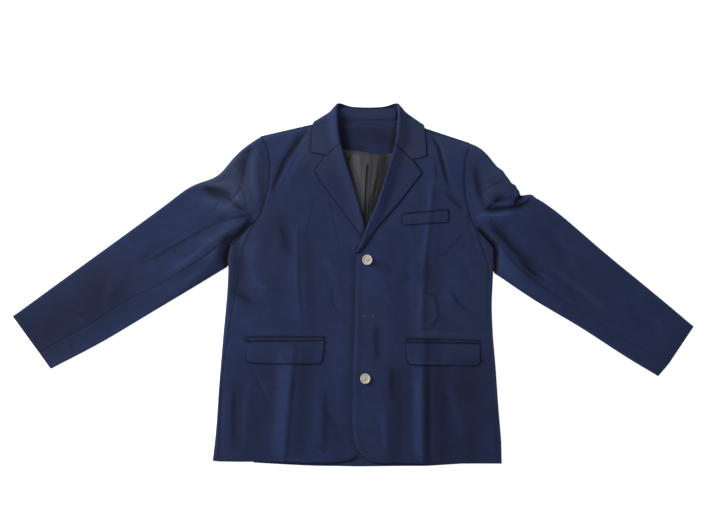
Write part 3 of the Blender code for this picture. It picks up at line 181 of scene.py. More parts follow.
# Fine creases of the body: pressed folds are sharpened, and small ripples are added
BODY_CREASES: tuple[Crease, ...] = (
    Crease(((-115, 124), (-117, 4), (-107, -64), (-109, -92)), 6.0, 0.3),
    Crease(((-122, -128), (-128, -167), (-134, -224), (-141, -299), (-147, -366)), 6.0, 0.6,
           Profile.PRESSED),
    Crease(((-119, -166), (-124, -224), (-131, -299), (-137, -366)), 6.0, -0.8, Profile.PRESSED),
    Crease(((160, 222), (158, 153), (150, 94), (142, 28)), 7.0, 0.3),
    Crease(((141, 0), (137, -89), (139, -112)), 6.0, 0.4),
    Crease(((139, -166), (139, -366)), 6.0, 0.7, Profile.PRESSED),
    Crease(((153, -168), (154, -270), (152, -366)), 10.0, -1.3),
    Crease(((150, 14), (148, -60), (149, -110)), 7.0, -0.6),
    Crease(((-95, 316), (-139, 255), (-168, 185)), 7.0, -0.9),
    Crease(((-84, 318), (-126, 255), (-158, 190)), 6.0, 0.7),
    Crease(((-75, 189), (-102, 84)), 3.0, -0.45),
    Crease(((-50, 185), (-28, 71)), 3.0, -0.4),
    Crease(((-43, -4), (-41, -39), (-25, -66)), 3.5, -0.6),
    Crease(((-38, -2), (-36, -40), (-20, -68)), 3.5, 0.2),
    Crease(((-148, 120), (-129, 66)), 6.0, -0.6),
    Crease(((-253, -9), (-209, -35)), 6.0, -0.7),
    Crease(((-196, 4), (-176, -10)), 6.0, 0.6),
    Crease(((-244, -193), (-244, -345)), 4.0, -0.5),
    Crease(((-209, -166), (-170, -254)), 3.5, -0.5),
    Crease(((-205, -160), (-165, -250)), 3.5, 0.15),
    Crease(((-56, -214), (-57, -345)), 8.0, -0.6),
    Crease(((-76, -328), (-62, -342), (-48, -338)), 4.0, -0.5),
    Crease(((-58, -330), (-40, -350)), 4.0, 0.4),
    Crease(((-212, -99), (-160, -97), (-100, -98)), 4.5, 0.3),
    Crease(((112, -102), (170, -98), (250, -106)), 4.5, 0.3),
    Crease(((157, 310), (174, 282), (190, 220), (198, 192)), 4.5, -1.1),
    Crease(((165, 312), (183, 280), (198, 224)), 5.0, 0.7),
    Crease(((169, 248), (171, 213)), 3.5, -0.7),
    Crease(((189, 185), (224, 154)), 5.0, -0.7),
    Crease(((180, 54), (228, 106)), 5.0, -0.5),
    Crease(((138, 0), (148, -14), (169, -24), (178, -62), (160, -92), (124, -90)), 4.5, -0.6),
    Crease(((132, -4), (143, -20), (162, -31), (170, -62), (154, -84), (120, -80)), 6.0, 0.4),
    Crease(((200, -13), (217, -39), (244, -59)), 4.0, -0.6),
    Crease(((207, -9), (224, -34), (250, -54)), 5.0, 0.25),
    Crease(((49, -84), (50, -156)), 8.0, -0.6),
    Crease(((80, -170), (81, -234)), 8.0, -0.6),
    Crease(((44, 40), (62, 26), (84, 24)), 6.0, -0.5),
    Crease(((60, 10), (76, -40), (96, -60)), 7.0, 0.25),
    Crease(((-60, 60), (-40, 20), (-30, -20)), 10.0, 0.3),
    Crease(((230, 60), (246, 20), (262, -8)), 8.0, 0.3),
    Crease(((240, 180), (236, 120), (252, 70)), 8.0, -0.5),
    Crease(((-60, -250), (-20, -330)), 12.0, -0.5),
    Crease(((60, -270), (70, -340)), 12.0, 0.5),
    Crease(((190, -190), (230, -330)), 14.0, 0.6),
    Crease(((-214, -180), (-226, -330)), 12.0, 0.5),
)

# Fine creases of the sleeves
SLEEVE_CREASES: tuple[Crease, ...] = (
    Crease(((-207, 290), (-220, 245), (-228, 200)), 7.0, -0.7),
    Crease(((-228, 200), (-243, 180)), 5.0, -0.7),
    Crease(((-226, 200), (-215, 152)), 5.0, -0.5),
    Crease(((-211, 300), (-216, 270), (-222, 240)), 3.5, 0.5),
    Crease(((-199, 276), (-203, 215), (-193, 163)), 12.0, 0.5),
    Crease(((-303, 198), (-276, 188), (-248, 180)), 10.0, -1.2),
    Crease(((-300, 206), (-272, 203), (-250, 204)), 9.0, 1.4),
    Crease(((-256, 180), (-247, 169)), 4.0, -1.4),
    Crease(((-249, 170), (-211, 143)), 5.0, -0.8),
    Crease(((-248, 155), (-215, 147)), 6.0, 1.3),
    Crease(((-275, 128), (-240, 137), (-209, 141)), 5.0, -0.7),
    Crease(((-272, 172), (-284, 150)), 4.0, -0.8),
    Crease(((-429, 43), (-380, 70), (-322, 104), (-273, 131), (-254, 147)), 4.0, -0.6, Profile.PRESSED),
    Crease(((-424, 52), (-376, 79), (-318, 112), (-262, 143)), 6.0, 0.35),
    Crease(((-222, 129), (-283, 92), (-380, 20)), 7.0, 0.5),
    Crease(((-282, 80), (-282, 68)), 4.0, -0.6),
    Crease(((-585, -50), (-555, -62), (-520, -85)), 4.5, -0.6),
    Crease(((-570, -70), (-540, -80)), 4.5, 0.5),
    Crease(((-580, -120), (-568, -141)), 4.0, -0.6),
    Crease(((-470, 30), (-500, -10), (-510, -50)), 18.0, 0.45),
    Crease(((-400, 90), (-440, 40)), 16.0, -0.35),
    Crease(((-620, -40), (-640, -90)), 16.0, 0.3),
    Crease(((249, 240), (256, 200), (264, 168)), 9.0, -1.1),
    Crease(((268, 190), (286, 204), (308, 214)), 5.0, -0.6),
    Crease(((354, 190), (343, 181), (331, 168)), 6.5, -3.4),
    Crease(((330, 196), (340, 192), (348, 186)), 5.0, 1.2),
    Crease(((362, 186), (352, 172), (336, 158)), 5.0, 1.2),
    Crease(((270, 153), (304, 155), (339, 160), (362, 173)), 5.0, -2.2),
    Crease(((276, 163), (304, 166), (334, 170)), 7.0, 1.6),
    Crease(((272, 154), (306, 178)), 5.0, -1.4),
    Crease(((247, 138), (290, 141), (332, 144)), 6.0, 1.3),
    Crease(((280, 144), (283, 130)), 4.0, -0.8),
    Crease(((282, 128), (330, 70), (362, 32), (392, 12)), 9.0, -1.2),
    Crease(((266, 122), (345, 50), (418, -2)), 6.0, 0.8),
    Crease(((430, 60), (470, 10), (500, -30)), 20.0, 0.45),
    Crease(((380, 120), (430, 60)), 16.0, -0.4),
    Crease(((560, -40), (590, -90)), 18.0, -0.35),
    Crease(((610, -60), (640, -110)), 14.0, 0.3),
    Crease(((404, 40), (450, 2), (520, -52)), 12.0, 0.7),
)

# Where the sleeve is pinched at its outer edge: the fold sinks in, and the cloth swells beside it
SLEEVE_NUDGES: tuple[Nudge, ...] = (
    Nudge(347, 187, 11, -4.5, -5.5),
    Nudge(329, 200, 10, 2.2, 2.6),
    Nudge(365, 183, 11, 2.0, 3.0),
    Nudge(303, 232, 14, 1.6, 1.6),
)

# The flaps' lower corners are turned round
FLAP_NUDGES: tuple[Nudge, ...] = (
    Nudge(259, -166, 9, -2.2, 2.2),
    Nudge(109, -160, 8, 2.0, 2.0),
    Nudge(-213, -161, 8, 1.6, 1.6),
    Nudge(-62, -161, 8, -1.6, 1.6),
)

# Fine folds of the lining that shows inside the neck, and its painted shade and highlight
LINING_CREASES: tuple[Crease, ...] = (
    Crease(((29, 240), (26, 190), (23, 130)), 3.5, -0.8),
    Crease(((36, 262), (33, 220), (28, 160)), 6.0, 0.3),
    Crease(((-6, 266), (-10, 250)), 4.0, -0.8),
    Crease(((12, 262), (14, 215), (18, 160)), 5.0, 0.5),
    Crease(((54, 262), (50, 220), (40, 170)), 5.0, -0.7),
    Crease(((64, 262), (57, 215), (44, 168)), 6.0, 0.3),
)
LINING_PAINTED_SHADING: tuple[Crease, ...] = (
    stroke(((29.5, 250), (26, 190), (22.5, 120)), 4.0, -3.6, 0.06),
    stroke(((36, 270), (34, 200), (27, 130)), 9.0, -0.5, 0.1),
    stroke(((-6, 270), (-12, 244)), 5.0, -1.0),
    stroke(((66, 272), (58, 220), (38, 140)), 15.0, -1.7, 0.1),
    stroke(((-22, 276), (-5, 218), (24, 116)), 8.5, -2.2, 0.05),
    stroke(((4, 276), (10, 215), (18, 140)), 19.0, 1.05, 0.1),
    stroke(((42, 266), (38, 220), (30, 150)), 7.0, 0.3),
)

# The shade inside the neck
NECK_TONES: tuple[Crease, ...] = (
    seam(((-30, 337.2), (90, 337.2)), 3.2, -0.8),
    stroke(((-30, 345), (-22, 300), (-8, 230)), 17.0, -1.2, 0.05),
    stroke(((90, 345), (84, 300), (70, 250)), 9.0, -0.8, 0.05),
    stroke(((-28, 305), (30, 308), (90, 305)), 34.0, -0.75, 0.02),
)

# Slow waves and ripples of cloth that lies loose: how many to a metre, and their height
WAVE_PER_M = 17.0
WAVE_HEIGHT = 0.4
RIPPLE_PER_M = 55.0
RIPPLE_HEIGHT = 0.16
RIPPLE_SLICE = 4.0

# Easing along a seam: how far from it the cloth sinks, and how deep
EASE_REACH = 4.5
EASE_DEPTH = 0.55

# The heights between which the back gives way to the garment's upper side
UPPER_SIDE_LOW = 2.6
UPPER_SIDE_HIGH = 4.4

# Armhole seams from the shoulder to the underarm, and on beside the body
ARMHOLE_RIGHT: Line = ((-187, 300), (-181, 293), (-172, 267), (-170, 239), (-174, 197), (-182, 169),
                       (-189, 145), (-203, 126), (-226, 103), (-240, 91.5), (-250, 82), (-254.5, 62),
                       (-257.5, 38.5))
ARMHOLE_LEFT: Line = ((236, 285), (235, 276), (229, 253), (227, 220), (230, 176), (240, 138), (251, 113),
                      (261, 103.5), (270.5, 94), (281, 82), (287, 70), (287.5, 52), (287, 27))
# Where the sleeve sinks in beside the body
CREVICE_RIGHT: Line = ((-203, 128.6), (-221.7, 110), (-236, 93), (-250.4, 79.4), (-259.5, 67),
                       (-261.5, 53), (-260.7, 36))
CREVICE_LEFT: Line = ((256, 112), (270.3, 98.5), (282.6, 85), (290.4, 75.3), (292.8, 63), (292.6, 46.6),
                      (290, 24))
# The edge of the over front, from the break of the lapel to the hem
OVER_FRONT_EDGE: Line = ((6, 62), (3.5, 0), (1.5, -101), (-1.5, -179), (-2.5, -239), (-3.5, -288),
                         (1.5, -319), (7, -337), (15, -346), (24, -353), (36, -361))

# Strokes of painted shade (below 0) and painted highlight (above 0), added to what the creases' heights
# paint
BODY_PAINTED_SHADING: tuple[Crease, ...] = (
    seam(ARMHOLE_RIGHT[:8], 3.2, -1.0),
    seam(ARMHOLE_LEFT[:7], 3.0, -0.8),
    seam(CREVICE_RIGHT[1:], 4.0, -1.4),
    seam(CREVICE_LEFT[1:], 3.5, -1.2),
    seam(((-213.5, -107.6), (-60.5, -107.6)), 3.4, -1.2),
    seam(((-216, -115.4), (-60.5, -114.3)), 3.4, -1.8),
    seam(((110.5, -111.6), (185, -112.1), (259, -114.6)), 3.4, -1.2),
    seam(((110, -117.8), (185, -118.5), (258, -120.4)), 3.4, -1.8),
    seam(((-269.7, -195), (-272.6, -277), (-272.6, -359)), 3.5, -0.5),
    seam(((293, -240), (299, -350)), 3.5, -0.4),
    seam(((-203, 126), (-216, 98), (-227, 73), (-231, 47), (-239, -11)), 3.0, -0.5),
    seam(((251, 113), (265, 72), (276, 44), (278, 8)), 3.0, -0.7),
    stroke(((150, -156), (152, -372)), 14.0, -0.95, 0.08),
    stroke(((172, -156), (178, -372)), 34.0, -0.6, 0.08),
    stroke(((126, -150), (127, -366)), 13.0, 0.2, 0.2),
    stroke(((152, 100), (150, 0), (150, -112)), 13.0, -0.5),
    stroke(((166, 90), (166, 0), (168, -112)), 26.0, -0.3),
    stroke(((152, -110), (151, -164)), 13.0, -0.55, 0.05),
    stroke(((168, -110), (167, -164)), 22.0, -0.3, 0.05),
    stroke(((130, -114), (129, -164)), 9.0, 0.15, 0.05),
    stroke(((-116, -110), (-124, -224), (-134, -366)), 10.0, -0.55, 0.12),
    stroke(((-98, -110), (-106, -224), (-112, -366)), 26.0, -0.35, 0.12),
    stroke(((-145, -120), (-152, -240), (-162, -366)), 18.0, 0.3, 0.2),
    stroke(((-111, 130), (-111, 4), (-103, -100)), 8.0, -0.45, 0.15),
    stroke(((-96, 130), (-94, 4), (-88, -100)), 20.0, -0.25, 0.15),
    stroke(((-95, 320), (-139, 255), (-172, 175)), 13.0, -0.6),
    stroke(((-76, 322), (-118, 250), (-146, 186)), 11.0, 0.35),
    stroke(((-164, 160), (-146, 110), (-120, 40)), 24.0, -0.42),
    stroke(((-262, -4), (-235, -18), (-200, -42)), 15.0, -0.55),
    stroke(((-238, 100), (-236, 40), (-240, -40)), 20.0, -0.6),
    stroke(((-214, 106), (-212, 40), (-196, -30)), 18.0, 0.3),
    stroke(((-244, -180), (-244, -360)), 11.0, -0.4),
    stroke(((-56, -200), (-57, -360)), 18.0, -0.4),
    stroke(((155, 316), (174, 282), (190, 220), (200, 180)), 9.0, -0.75),
    stroke(((168, 256), (172, 205)), 7.0, -0.4),
    stroke(((182, 196), (230, 150)), 9.0, -0.4),
    stroke(((190, -2), (217, -39), (250, -64)), 9.0, -0.35),
    stroke(((30, 52), (52, 44), (84, 36)), 13.0, -0.45),
    stroke(((49, -64), (50, -176)), 16.0, -0.35),
    stroke(((80, -150), (81, -250)), 16.0, -0.35),
    stroke(((92, -150), (92, -400)), 46.0, -0.4, 0.15),
    stroke(((230, -130), (240, -400)), 74.0, -0.5, 0.15),
    stroke(((-200, -130), (-210, -400)), 60.0, -0.35, 0.15),
    stroke(((-30, -220), (-30, -400)), 40.0, -0.25, 0.15),
    stroke(((104, -160), (106, -372)), 9.0, 0.18, 0.2),
    stroke(((118, 130), (120, 0), (118, -100)), 8.0, 0.14, 0.2),
    stroke(((60, -220), (62, -360)), 8.0, 0.12, 0.2),
    stroke(((-30, 40), (-28, -100), (-34, -340)), 9.0, 0.1, 0.2),
    stroke(((-84, 60), (-80, -100), (-90, -340)), 8.0, -0.12, 0.2),
    stroke(((200, 70), (190, -80)), 40.0, 0.14),
    stroke(((168, 216), (163, 153), (152, 52), (147, 2)), 8.0, -0.5, 0.15),
    stroke(((157, 216), (152, 153), (141, 52), (136, 2)), 5.0, 0.18, 0.15),
    stroke(((108, 34), (112, 2)), 12.0, -0.4),
    seam(((102, 144.5), (194, 152.6)), 3.2, -0.9),
    stroke(((60, 190), (120, 80)), 26.0, 0.12),
    stroke(((-90, 120), (-60, 20)), 30.0, 0.08),
    stroke(((-230, -100), (-200, -60)), 34.0, 0.12),
)
# Painted shade and highlight of the sleeves, darkest in the underarm crevices
SLEEVE_PAINTED_SHADING: tuple[Crease, ...] = (
    seam(ARMHOLE_RIGHT[:8], 3.2, -1.0),
    seam(ARMHOLE_LEFT[:7], 3.0, -0.9),
    seam(CREVICE_RIGHT, 12.0, -0.8),
    seam(CREVICE_RIGHT, 5.5, -3.0),
    seam(CREVICE_LEFT, 13.0, -0.8),
    seam(CREVICE_LEFT, 6.0, -3.0),
    stroke(((-213, 296), (-228, 245), (-238, 190)), 16.0, -0.4),
    stroke(((-206, 300), (-213, 268), (-221, 225)), 5.0, 0.4),
    stroke(((-310, 200), (-280, 188), (-252, 180)), 16.0, -0.4),
    stroke(((-242, 184), (-232, 172)), 7.0, 0.5),
    stroke(((-250, 170), (-235, 158), (-218, 150)), 13.0, -0.4),
    stroke(((-290, 170), (-262, 160), (-244, 152)), 12.0, 0.2),
    stroke(((-440, 36), (-380, 70), (-322, 104), (-273, 131), (-250, 150)), 7.0, -0.25),
    stroke(((-214, 133), (-283, 92), (-390, 14)), 13.0, 0.12),
    stroke(((-210, 128), (-270, 96), (-360, 40)), 20.0, -0.25),
    stroke(((-250, 70), (-300, 44), (-380, 0)), 14.0, -0.3),
    stroke(((-760, -130), (-600, -80), (-420, 40)), 95.0, -0.7, 0.3),
    stroke(((352, 188), (344, 180), (337, 172)), 8.0, -2.4, 0.25),
    stroke(((338, 178), (331, 167), (336, 162), (348, 168)), 7.0, -0.9, 0.3),
    stroke(((318, 188), (322, 176), (320, 168)), 8.0, -0.5),
    stroke(((262, 150), (304, 155), (339, 160), (366, 176)), 9.0, -1.0),
    stroke(((280, 178), (305, 172), (326, 172)), 11.0, -0.5),
    stroke(((266, 150), (310, 182)), 10.0, -0.55),
    stroke(((248, 262), (256, 215), (264, 160)), 17.0, -0.6),
    stroke(((262, 180), (266, 160)), 10.0, -0.4),
    stroke(((352, 186), (366, 178), (362, 164)), 9.0, 0.3),
    stroke(((266, 136), (300, 104), (340, 58), (372, 22), (404, -2)), 24.0, -0.6),
    stroke(((330, 62), (362, 28), (392, 4)), 12.0, -0.4),
    stroke(((256, 138), (310, 84)), 17.0, -0.4),
    stroke(((248, 138), (290, 142), (336, 146)), 9.0, 0.35),
    stroke(((380, 130), (440, 90), (520, 20)), 40.0, 0.12),
)

# Painted shade on the under front beside the over front's edge, and on the over front a painted
# highlight along its edge with faint painted shade further in
UNDER_PAINTED_SHADE: tuple[Crease, ...] = (seam(OVER_FRONT_EDGE, 15.0, -0.45),)
OVER_PAINTED_SHADING: tuple[Crease, ...] = (
    seam(tuple((x + 3.0, y) for x, y in OVER_FRONT_EDGE), 3.5, 0.35),
    seam(tuple((x + 13.0, y) for x, y in OVER_FRONT_EDGE), 7.0, -0.22),
)
# Painted shade where the collar is sewn to the lapels and along the lapel's roll
GORGE_PAINTED_SHADE: tuple[Crease, ...] = (
    seam(((-54.5, 265), (-24.5, 291), (-20, 296)), 3.0, -1.2),
    seam(((120.5, 255.5), (85.6, 288), (82, 292)), 3.0, -1.2),
    stroke(((-66, 214), (-30, 200), (0, 160)), 40.0, -0.12),
    seam(((3, 62), (22, 117), (42, 164), (65, 225), (84, 286), (89, 345)), 8.0, -0.6),
)

# Broad patches of painted sheen, where the nap catches the light and looks paler and greyer, in the
# body's frame
SHEEN_PATCHES: tuple[SheenPatch, ...] = (
    SheenPatch(-250, 215, 62, 60, 0.75),
    SheenPatch(-215, 205, 30, 70, 0.3),
    SheenPatch(-150, 290, 70, 26, 0.15),
    SheenPatch(-70, 285, 40, 50, 0.5),
    SheenPatch(112, 300, 40, 55, 0.45),
    SheenPatch(200, 280, 60, 24, 0.35),
    SheenPatch(285, 215, 34, 34, 0.35),
    SheenPatch(-250, 90, 60, 44, 0.3),
    SheenPatch(30, 350, 60, 16, 0.3),
)

# How far from the edge of what lies on a panel the panel gets painted contact shade, and how dark
CONTACT_REACH = 3.6
CONTACT_SHADE = 0.8

# The lower end of the over front's lapel: its roll line, and how it is drawn out along it
ROLL_LEFT: Line = ((4.5, 58), (7.5, 66), (14, 84), (26, 117), (47, 164))
LAPEL_FROM_Y = 112.0
LAPEL_END_Y = 86.0
LAPEL_STRETCH = 0.66
LAPEL_END_DROP = 0.7

# The shaded side of an edge that lies on another piece: how steep, wide and high it is at least or at
# most, where it is drawn, how dark it is, and how far it leans out
WALL_SLOPE = 0.8
WALL_IN_PLAN = 2.0
WALL_LEAST = 0.1
LEAN_WITHIN = 9.0
LEAN_LEAST = 0.1
LEAN_BELOW_Y = 332.0
WELT_SHADED: Line = ((103, 118), (102, 141), (148, 146), (194, 150.5))
WALL_SHADE = 2.6
WALL_SHADE_STEEP = 1.6
EDGE_LEAN = 1.2
POCKET_LEAN = 0.9

# How a solid's mesh is joined into cells, and how its rim is told from the rest
MERGE_WITHIN_M = 1e-6
CELL_BEND = math.radians(50)
CELL_SKEW = math.radians(60)
WALL_MATCH = 0.04
CORNER_ANGLE = math.radians(17)
RIM_CREASE = 0.01
SHARP_CREASE = 0.5

# How the open cloth is evened, and how far the rim grows to meet its neighbour
EVEN_PASSES = 6
LEVEL_NORMAL = 0.85
SEAM_GROW = 0.28
SIDEWAYS_LEAST = 0.2

# Painted shade in the folds' hollows and painted highlight on their crests, from the folds' own heights:
# how often the level is averaged, by how much, and its limits
TONE_PASSES = 70
TONE_STEP = 0.6
TONE_APART_LEAST = 0.3
TONE_SCALE = 1.3
TONE_LEAST = -0.8
TONE_MOST = 0.35
TONE_LIMITS = (-3.0, 1.6)
TONE_BASE = 2.2
SHOWN_NORMAL = 0.3

# The weave: each noise's scale and detail, and how much each part adds to the height and the shade
NAP_NOISE = (900.0, 3.0)
SLUB_NOISE = (330.0, 4.0)
DYE_NOISE = (5.5, 4.0)
DYE_ROUGHNESS = 0.55
RIB_HEIGHT = 0.5
YARN_HEIGHT = 0.2
RIB_SHADE = 0.10
YARN_SHADE = 0.05
FUZZ_SHADE = 0.5
SLUB_SHADE = 1.3

CLOTH_SMOOTH = math.radians(48)
STRIP_SMOOTH = math.radians(30)
BUTTON_SMOOTH = math.radians(40)
BUTTON_BEVEL = math.radians(30)
RAY_FROM = 0.2
BACKS = ("back_left_cloth", "back_right_cloth")
FRONTS = ("front_left_cloth", "front_right_cloth")


def smooth(value: np.ndarray | float) -> np.ndarray:
    """A step from 0 to 1 that starts and ends gently."""
    held = np.clip(value, 0.0, 1.0)
    return held * held * (3.0 - 2.0 * held)


def upper_share(height: np.ndarray) -> np.ndarray:
    """How far each height belongs to the garment's upper side, from 0 to 1."""
    return smooth((height - UPPER_SIDE_LOW) / (UPPER_SIDE_HIGH - UPPER_SIDE_LOW))


def deselect_all() -> None:
    """Leave object mode with nothing selected."""
    if bpy.context.mode != "OBJECT":
        bpy.ops.object.mode_set(mode="OBJECT")
    bpy.ops.object.select_all(action="DESELECT")


def make_active(*pieces: bpy.types.Object) -> None:
    """Select these pieces alone and make the first of them the active one."""
    deselect_all()
    for piece in pieces:
        piece.select_set(True)
    bpy.context.view_layer.objects.active = pieces[0]


def apply_modifier(piece: bpy.types.Object, kind: str, **values: object) -> None:
    """Add a modifier to a piece and apply it.

    Args:
        piece: the piece to work on.
        kind: the modifier's Blender type.
        **values: its settings.
    """
    make_active(piece)
    added = piece.modifiers.new(kind.lower(), kind)
    for name, value in values.items():
        setattr(added, name, value)
    bpy.ops.object.modifier_apply(modifier=added.name)


def new_object(form: bmesh.types.BMesh, name: str) -> bpy.types.Object:
    """Turn a form into a new object, and free the form.

    Args:
        form: the form.
        name: the object's name and its mesh's.

    Returns:
        The object, linked to the scene.
    """
    mesh = bpy.data.meshes.new(name)
    form.to_mesh(mesh)
    form.free()
    piece = bpy.data.objects.new(name, mesh)
    bpy.context.scene.collection.objects.link(piece)
    return piece


def strand(place: tuple[float, float, float], half: tuple[float, float, float], sides: int,
           rings: int) -> bpy.types.Object:
    """Lay one rounded strand of thread.

    Args:
        place: its middle, in metres.
        half: half its size along X, Y and Z, in millimetres.
        sides: how many faces it has round it.
        rings: how many it has from end to end.

    Returns:
        The strand, with its place in its mesh.
    """
    deselect_all()
    bpy.ops.mesh.primitive_uv_sphere_add(segments=sides, ring_count=rings, radius=1.0, location=place)
    laid = bpy.context.object
    laid.scale = [part * MM for part in half]
    bpy.ops.object.transform_apply(location=True, rotation=True, scale=True)
    return laid


def positions(mesh: bpy.types.Mesh) -> np.ndarray:
    """A mesh's vertex places, one row each, in millimetres."""
    flat = np.empty(len(mesh.vertices) * 3)
    mesh.vertices.foreach_get("co", flat)
    return flat.reshape(-1, 3) / MM


def set_positions(mesh: bpy.types.Mesh, places: np.ndarray) -> None:
    """Write vertex places, given in millimetres, back to a mesh."""
    mesh.vertices.foreach_set("co", (places * MM).ravel())
    mesh.update()


def vertex_normals(mesh: bpy.types.Mesh) -> np.ndarray:
    """A mesh's vertex normals, one row each."""
    flat = np.empty(len(mesh.vertices) * 3)
    mesh.vertices.foreach_get("normal", flat)
    return flat.reshape(-1, 3)


def edge_ends(mesh: bpy.types.Mesh) -> np.ndarray:
    """The vertices at the edges' first ends in one row, and at their second ends in the next."""
    flat = np.empty(len(mesh.edges) * 2, dtype=np.int64)
    mesh.edges.foreach_get("vertices", flat)
    return flat.reshape(-1, 2).T


def edge_creases(mesh: bpy.types.Mesh) -> np.ndarray:
    """How hard each edge of a mesh is creased, from 0 to 1."""
    values = np.empty(len(mesh.edges))
    mesh.attributes["crease_edge"].data.foreach_get("value", values)
    return values


def rim_vertices(mesh: bpy.types.Mesh) -> np.ndarray:
    """Which vertices lie on the rim between the cloth's two sides.

    Args:
        mesh: the subdivided mesh.

    Returns:
        A true or false for each vertex.
    """
    rim = np.zeros(len(mesh.vertices), dtype=bool)
    rim[edge_ends(mesh)[:, edge_creases(mesh) > RIM_CREASE].ravel()] = True
    return rim


def neighbour_sum(count: int, ends: np.ndarray, weight: np.ndarray, values: np.ndarray) -> np.ndarray:
    """Add up each vertex's neighbours.

    Args:
        count: how many vertices there are.
        ends: the edges' first and second ends.
        weight: how much each edge counts.
        values: a value for each vertex.

    Returns:
        The weighted sum for each vertex.
    """
    first, second = ends
    return (np.bincount(first, weight * values[second], minlength=count)
            + np.bincount(second, weight * values[first], minlength=count))


def plan_tree(places: np.ndarray, marks: np.ndarray) -> KDTree:
    """Make a search tree of vertices as they are seen from above.

    Args:
        places: the vertices' places.
        marks: the rows that go into the tree.

    Returns:
        The tree, which gives rows of places.
    """
    tree = KDTree(len(marks))
    for index in marks:
        tree.insert((places[index, 0], places[index, 1], 0.0), int(index))
    tree.balance()
    return tree


class NodeSheet:
    """Adds and links shader nodes in one tree."""

    def __init__(self, tree: bpy.types.NodeTree) -> None:
        """Start on a tree."""
        self.tree = tree

    def feed(self, node: bpy.types.Node, feeds: Feeds) -> None:
        """Fill a node's inputs.

        Args:
            node: the node.
            feeds: a socket to link or a value to set for each input.
        """
        for place, value in feeds.items():
            if isinstance(value, bpy.types.NodeSocket):
                self.tree.links.new(value, node.inputs[place])
            else:
                node.inputs[place].default_value = value

    def add(self, kind: str, feeds: Feeds | None = None, **values: object) -> bpy.types.Node:
        """Add a node.

        Args:
            kind: the node's Blender type.
            feeds: what goes into its inputs.
            **values: attributes of the node to set.

        Returns:
            The new node.
        """
        node = self.tree.nodes.new(kind)
        for name, value in values.items():
            setattr(node, name, value)
        self.feed(node, feeds or {})
        return node

    def math(self, operation: str, first: object, second: object = 0.0) -> bpy.types.NodeSocket:
        """The output of a Math node on two sockets or numbers."""
        return self.add("ShaderNodeMath", {0: first, 1: second}, operation=operation).outputs[0]

    def mix(self, share: object, first: object, second: object) -> bpy.types.NodeSocket:
        """The colour that goes from a first to a second by a share."""
        feeds = {"Factor": share, "A": first, "B": second}
        return self.add("ShaderNodeMix", feeds, data_type="RGBA").outputs["Result"]

    def noise(self, place: bpy.types.NodeSocket, scale: float, detail: float,
              **feeds: float) -> bpy.types.NodeSocket:
        """The value of a noise of this scale and detail."""
        feeds = {"Vector": place, "Scale": scale, "Detail": detail, **feeds}
        return self.add("ShaderNodeTexNoise", feeds).outputs["Fac"]

    def bump(self, height: bpy.types.NodeSocket, strength: float,
             distance: float) -> bpy.types.NodeSocket:
        """The normal that a height gives, its distance in metres."""
        feeds = {"Height": height, "Strength": strength, "Distance": distance}
        return self.add("ShaderNodeBump", feeds).outputs["Normal"]

    def object_place(self) -> bpy.types.NodeSocket:
        """The place on the piece."""
        return self.add("ShaderNodeTexCoord").outputs["Object"]

    def attribute(self, name: str) -> bpy.types.NodeSocket:
        """The value that is stored on the mesh under a name."""
        return self.add("ShaderNodeAttribute", attribute_name=name).outputs["Fac"]


def new_group(name: str, takes: dict[str, str],
              gives: dict[str, str]) -> tuple[NodeSheet, bpy.types.NodeInputs, bpy.types.Node]:
    """Start a shader node group.

    Args:
        name: its name.
        takes: the kind of each input.
        gives: the kind of each output.

    Returns:
        Its sheet, the sockets that bring in its inputs, and the node that puts out its outputs.
    """
    tree = bpy.data.node_groups.new(name, "ShaderNodeTree")
    for way, sockets in (("INPUT", takes), ("OUTPUT", gives)):
        for socket, kind in sockets.items():
            tree.interface.new_socket(socket, in_out=way, socket_type="NodeSocket" + kind)
    sheet = NodeSheet(tree)
    return sheet, sheet.add("NodeGroupInput").outputs, sheet.add("NodeGroupOutput")


def twill_group() -> bpy.types.NodeTree:
    """Build the weave that every cloth shares.

    Returns:
        A node group that turns a place on the cloth into the weave's height, its shade and the slow
        change of the dye.
    """
    sheet, given, put_out = new_group(
        "twill_weave", {"Vector": "Vector", "Threads": "Float", "Nap": "Float"},
        {"Height": "Float", "Shade": "Float", "Dye": "Float"})
    place, threads = given["Vector"], given["Threads"]
    parts = sheet.add("ShaderNodeSeparateXYZ", {0: place}).outputs
    warp = sheet.math("MULTIPLY", parts["X"], threads)
    weft = sheet.math("MULTIPLY", parts["Y"], threads)
    rib = sheet.math("SINE", sheet.math("MULTIPLY", sheet.math("ADD", warp, weft), math.pi))
    yarn = sheet.math("SINE", sheet.math("MULTIPLY", warp, math.tau))
    fuzz = sheet.math("MULTIPLY", sheet.noise(place, *NAP_NOISE), given["Nap"])
    slub = sheet.math("SUBTRACT", sheet.noise(place, *SLUB_NOISE), 0.5)
    height, shade = fuzz, 0.5
    for source, share in ((rib, RIB_HEIGHT), (yarn, YARN_HEIGHT)):
        height = sheet.math("ADD", height, sheet.math("MULTIPLY", source, share))
    for source, share in ((rib, RIB_SHADE), (yarn, YARN_SHADE), (fuzz, FUZZ_SHADE), (slub, SLUB_SHADE)):
        shade = sheet.math("ADD", shade, sheet.math("MULTIPLY", source, share))
    dye = sheet.noise(place, *DYE_NOISE, Roughness=DYE_ROUGHNESS)
    sheet.feed(put_out, {"Height": height, "Shade": shade, "Dye": dye})
    return sheet.tree


